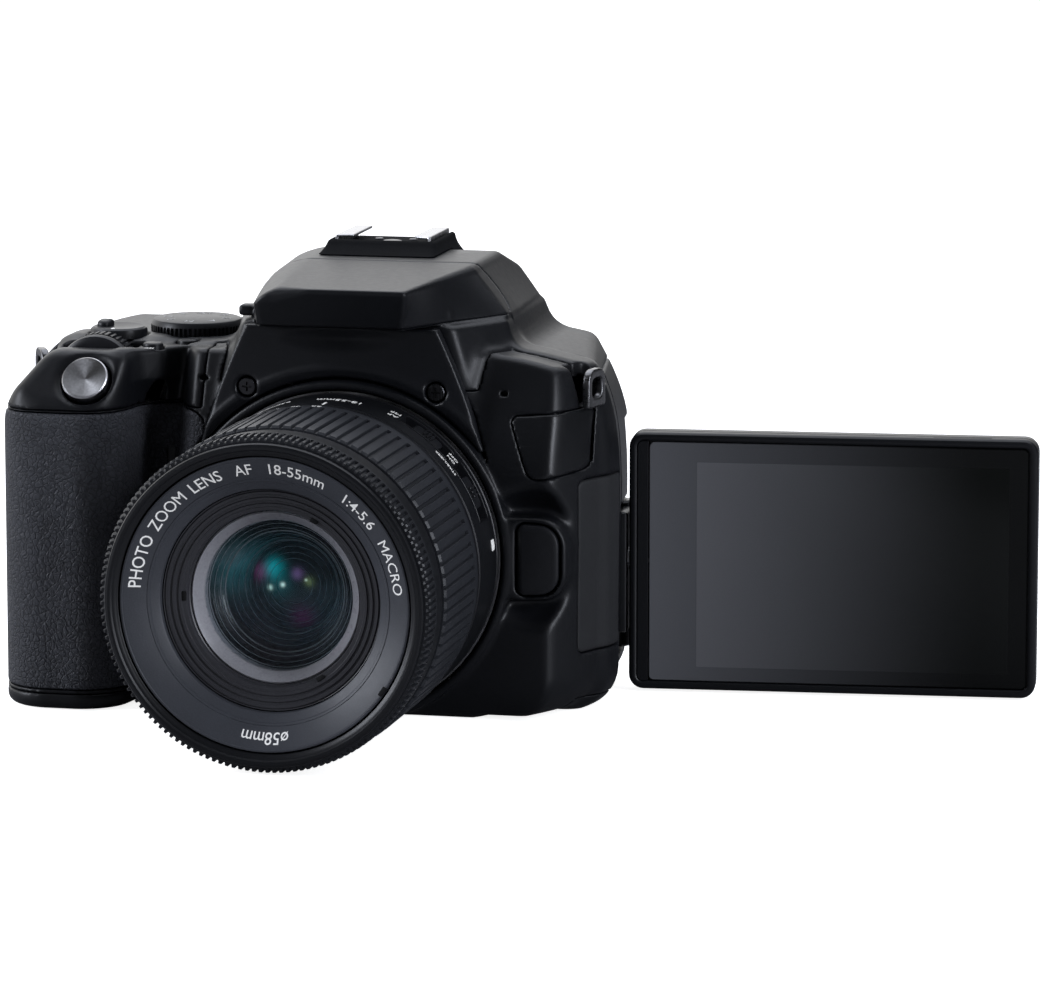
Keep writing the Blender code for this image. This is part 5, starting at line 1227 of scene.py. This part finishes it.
def rails_field(x, y, z):
    out = rbox(x, y, z, (-10.0, 35.2, 89.9), (10.0, 52.4, 92.6), 0.3)
    out = np.maximum(out, -rbox(x, y, z, (-9.3, 30, 80), (9.3, 70, 92.0), 0.1))
    out = rmax(0.25, out, -rbox(x, y, z, (-6.3, 30, 80), (6.3, 70, 99), 0.3))
    return rmax(0.3, out, (35.4 + 0.4 * (10.0 - np.abs(x)) - y) * 0.92)


piece("shoe_channel", local("shoe_channel", (-10.6, 34.6, 89.4), (10.6, 53.0, 93.0), 0.22, rails_field, 0.3),
      "camera_body", STEEL, ("shoe_rails",), 0)
bed = [(-9.2, 35.2, 0.3), (9.2, 35.2, 0.3), (9.2, 52.3, 0.3), (-9.2, 52.3, 0.3)]
piece("shoe_bed", levels_mesh("shoe_bed", bed, [(89.7, 0.0), (90.35, 0.0), (90.45, 0.1)], "Z", 3), "camera_body", PLINTH,
      (), 30)
for i, (cx, cy, r) in enumerate(((0, 43.5, 2.0), (-3.6, 47.2, 0.9), (3.6, 47.2, 0.9), (-2.2, 39.4, 0.9), (2.2, 39.4, 0.9))):
    piece(f"shoe_contact_{i}", lathe(f"shoe_contact_{i}", [(0.05, 90.4), (r, 90.4), (r, 90.6), (r - 0.2, 90.72), (0.05, 90.72)],
                                     (cx, cy, 0), "Z", 40), "camera_body", DARK_METAL, ())


def lug_piece(name, at, turn, stands_for):
    """Strap loop: a thick plate with a rounded eye."""
    c, s = math.cos(math.radians(turn)), math.sin(math.radians(turn))
    cx, cy, cz = at

    def field(x, y, z):
        u = (x - cx) * c + (y - cy) * s
        v = -(x - cx) * s + (y - cy) * c
        eye = polygon(rounded([(-2.3, -1.9, 1.3), (2.3, -1.9, 1.3), (2.3, 2.1, 1.3), (-2.3, 2.1, 1.3)]), u, z - cz + 0 * u)
        plate = polygon(rounded([(-4.0, -3.9, 0.8), (4.0, -3.9, 0.8), (3.8, 3.9, 2.6), (-3.8, 3.9, 2.6)]), u, z - cz + 0 * u)
        return rmax(0.35, plate, np.abs(v) - 0.8, -eye)
    low, high = np.array(at) - 5.0, np.array(at) + 5.0
    piece(name, local(name, low, high, 0.22, field, 0.6), "camera_body", CHROME, (stands_for,), 0)


lug_piece("lug_loop_right", (48.9, 12.9, 66.1), 77.0, "strap_lug_right")
lug_piece("lug_loop_left", (-66.2, 14.2, 66.6), -62.0, "strap_lug_left")

CUP = [(-18.0, 65.8, 5.0), (18.0, 65.8, 5.0), (18.0, 84.5, 7.0), (-18.0, 84.5, 7.0)]
WINDOW = [(-10.6, 69.2, 2.0), (10.6, 69.2, 2.0), (10.6, 80.8, 2.0), (-10.6, 80.8, 2.0)]


def cup_field(x, y, z):
    outer = polygon(rounded(CUP, 8), x, z)
    window = polygon(rounded(WINDOW, 6), x, z)
    groove = np.hypot(y - 58.9, outer) - 0.45
    flare = window + 0.55 * np.maximum(61.8 - y, 0) - 1.7
    out = rmax(1.3, outer, y - 61.8, 57.8 - y)
    return rmax(0.8, drill(out, groove), -smin(window, flare, 0.8))


piece("eye_cup", local("eye_cup", (-19, 57.2, 64.8), (19, 62.4, 85.4), 0.35, cup_field, 0.6), "camera_body", SOFT,
      ("eyecup",), 0)
diopter = [(0.05, 55.0), (3.0, 55.0), (3.0, 58.5), (2.75, 58.9), (2.4, 59.0), (0.05, 59.0)]
piece("diopter_wheel", lathe("diopter_wheel", diopter, (-22.6, 0, 75.5), "Y", 20 * 6, wave=lambda r, h, a: teeth(
    20, 0.35, 0.25, 57, 58.8)(r, h, a) if r > 2.8 else np.full(len(a), r)), "diopter_dial", BUTTON, ("diopter_dial",),
      30)

# ------------------------------------------------------------------ back controls
def on_back(cx, cz, y):
    """Lettering on the back: read from behind, so its right is the frame's -X."""
    def place(p):
        return np.stack([cx - p[:, 0], y + p[:, 2], cz + p[:, 1]], 1)
    return place


marks = {"menu_button": "", "info_button": "", "live_view_button": "o", "exposure_button": "+/-",
         "ae_lock_button": "*", "af_point_button": "+", "playback_button": ">", "erase_button": "x"}
for label, bx, bz, radius in BACK_BUTTONS:
    dome_button(label, (bx, 0, bz), radius, REAR_Y - 2.8, REAR_Y + 1.0, "Y")
    if marks[label]:
        lettering(label + "_mark", marks[label], 2.4, on_back(bx, bz, REAR_Y + 1.0), label, WHITE)
for i, (word, cx, cz, lift) in enumerate((("MENU", 38.8, 64.0, 0.02), ("INFO", 31.0, 64.0, 0.39))):
    lettering(f"back_text_{i}", word, 1.6, on_back(cx, cz, REAR_Y + lift), "camera_body", WHITE)
pad = [(4.2, REAR_Y - 2.6), (4.2, REAR_Y + 0.1), (4.5, REAR_Y + 0.45), (6.4, REAR_Y + 0.6), (8.0, REAR_Y + 0.9),
       (8.5, REAR_Y + 0.8), (8.8, REAR_Y + 0.4), (8.8, REAR_Y - 2.6)]
piece("pad_ring", lathe("pad_ring", pad, (PAD_X, 0, PAD_Z), "Y", 96, closed=True), "control_pad", BUTTON, ("control_pad",),
      30)
dome_button("set_button", (PAD_X, 0, PAD_Z), 3.85, REAR_Y - 2.6, REAR_Y + 0.9, "Y")
lettering("set_text", "SET", 1.9, on_back(PAD_X, PAD_Z, REAR_Y + 0.9), "set_button", WHITE)
for i, (word, du, dz) in enumerate((("WB", 0, 6.5), ("AF", 6.5, 0), ("<>", -6.5, 0), ("()", 0, -6.5))):
    lettering(f"pad_text_{i}", word, 1.7, on_back(PAD_X + du, PAD_Z + dz, REAR_Y + 0.72), "control_pad", WHITE)
THUMB = [(-66.5, 37.5, 4), (-46.5, 43.5, 4), (-47.5, 58.0, 4), (-66.5, 57.0, 4)]


def thumb_field(x, y, z):
    swell = 59.7 - 0.012 * (x + 60.0) ** 2 - 0.008 * (z - 50) ** 2
    out = rmax(1.0, polygon(rounded(THUMB), x, z), y - swell, 57.75 - y)
    return rmax(0.5, out, 3.2 - np.hypot(x + 45.0, z - 52.2))


piece("thumb_pad", local("thumb_pad", (-67.4, 57.2, 36.6), (-45.6, 60.4, 59), 0.35, thumb_field, 0.7), "camera_body",
      RUBBER, ("thumb_rubber",), 0)

# ------------------------------------------------------------------ lens release, base
button_levels = [(5.2, 0.0), (-0.2, 0.0), (-0.55, 0.15), (-0.8, 0.5), (-0.9, 1.1)]
piece("release_key", levels_mesh("release_key", RELEASE, button_levels, steps=8), "lens_release", BUTTON,
      ("lens_release_button",), 30)
DOOR = [(-66.0, 1.0, 1.0), (-47.2, 1.0, 1.0), (-47.2, 38.5, 1.0), (-66.0, 38.5, 1.0)]
piece("battery_lid", levels_mesh("battery_lid", DOOR, [(2.0, 0.0), (0.6, 0.0), (0.3, 0.3)], "Z", 5), "battery_door", SHELL,
      ("battery_door",), 30)
piece("battery_latch", levels_mesh("battery_latch", [(-64.4, 17.0, 1.2), (-61.2, 17.0, 1.2), (-61.2, 23.0, 1.2),
                                                     (-64.4, 23.0, 1.2)], [(0.5, 0.0), (0.18, 0.0), (0.1, 0.3)], "Z", 5),
      "battery_door", BUTTON, (), 30)
bush = [(6.6, 3.4), (5.1, 3.3), (5.1, 0.3), (4.8, 0.1), (3.6, 0.1)]
for k in range(8):
    bush += [(3.2, 0.5 + k * 0.7), (3.45, 0.85 + k * 0.7)]
bush += [(3.2, 6.2), (6.6, 6.2)]
piece("tripod_bush", lathe("tripod_bush", bush, (0, 24.0, 0), "Z", 64, closed=True), "camera_body", STEEL,
      ("tripod_socket",), 30)
print("pieces ready")

# ------------------------------------------------------------------ stage
floor_mesh = bpy.data.meshes.new("floor")
floor_mesh.from_pydata([(-6, -6, 0), (6, -6, 0), (6, 6, 0), (-6, 6, 0)], [], [(0, 1, 2, 3)])
floor = bpy.data.objects.new("floor", floor_mesh)
bpy.context.scene.collection.objects.link(floor)
floor.location.z = -0.0001
floor_look = Look("pale floor")
seen = floor_look.add("ShaderNodeLightPath").outputs["Is Camera Ray"]
grain = floor_look.noise(40.0, 3.0)
tone = floor_look.mix(grain, (0.86, 0.86, 0.86, 1), (0.89, 0.89, 0.89, 1))
floor_look.set(Base_Color=floor_look.mix(seen, (0.30, 0.30, 0.31, 1), tone), Roughness=0.8,
               Specular_IOR_Level=0.1, Emission_Color=(1, 1, 1, 1),
               Emission_Strength=floor_look.maths("MULTIPLY", seen, 0.86))
floor_mesh.materials.append(floor_look.mat)


def softbox(name, place, target, width, height, power, tint=(1, 1, 1)):
    data = bpy.data.lights.new(name, "AREA")
    data.shape = "RECTANGLE"
    data.size, data.size_y = width, height
    data.energy = power
    data.color = tint
    lamp = bpy.data.objects.new(name, data)
    bpy.context.scene.collection.objects.link(lamp)
    lamp.location = place
    lamp.rotation_euler = (Vector(target) - Vector(place)).to_track_quat("-Z", "Y").to_euler()
    return lamp


COOL = (0.93, 0.97, 1.07)
softbox("top_box", (0.0, 0.25, 0.80), (0, 0, 0.05), 1.1, 0.9, 6.0, COOL)
softbox("right_strip", (1.0, -0.50, 0.30), (0, 0, 0.04), 0.16, 0.9, 9.0, COOL)
softbox("left_box", (-1.00, -0.42, 0.42), (0, 0, 0.04), 0.35, 0.7, 9.0, COOL)

scene = bpy.context.scene
room = bpy.data.worlds.new("studio")
room.use_nodes = True
scene.world = room
tree = room.node_tree
back = tree.nodes["Background"]
path = tree.nodes.new("ShaderNodeLightPath")
way = tree.nodes.new("ShaderNodeTexCoord")
toward = tree.nodes.new("ShaderNodeVectorMath")
toward.operation = "DOT_PRODUCT"
toward.inputs[1].default_value = (-0.9, 1.0, 0.0)
tree.links.new(way.outputs["Generated"], toward.inputs[0])
wall = tree.nodes.new("ShaderNodeMapRange")
wall.interpolation_type = "SMOOTHSTEP"
for key, number in (("From Min", 0.70), ("From Max", 1.10), ("To Min", 0.05), ("To Max", 1.5)):
    wall.inputs[key].default_value = number
tree.links.new(toward.outputs["Value"], wall.inputs["Value"])
glow = tree.nodes.new("ShaderNodeMix")
glow.data_type = "FLOAT"
glow.inputs[3].default_value = 1.0
tree.links.new(wall.outputs["Result"], glow.inputs[2])
tree.links.new(path.outputs["Is Camera Ray"], glow.inputs[0])
tree.links.new(glow.outputs[0], back.inputs["Strength"])
back.inputs["Color"].default_value = (1, 1, 1, 1)
scene.view_settings.view_transform = "Standard"

camera_data = bpy.data.cameras.new("camera")
camera = bpy.data.objects.new("camera", camera_data)
scene.collection.objects.link(camera)
azimuth, elevation, distance = math.radians(12.70), math.radians(9.53), 1.171
look_at = Vector((0.0367, -0.0440, 0.0451))
away = Vector((math.sin(azimuth) * math.cos(elevation), -math.cos(azimuth) * math.cos(elevation), math.sin(elevation)))
camera.location = look_at + away * distance
camera.rotation_mode = "QUATERNION"
camera.rotation_quaternion = (-away).to_track_quat("-Z", "Y")
camera_data.sensor_width = 36.0
camera_data.lens = 204.5
camera_data.clip_start, camera_data.clip_end = 0.01, 50.0
scene.camera = camera
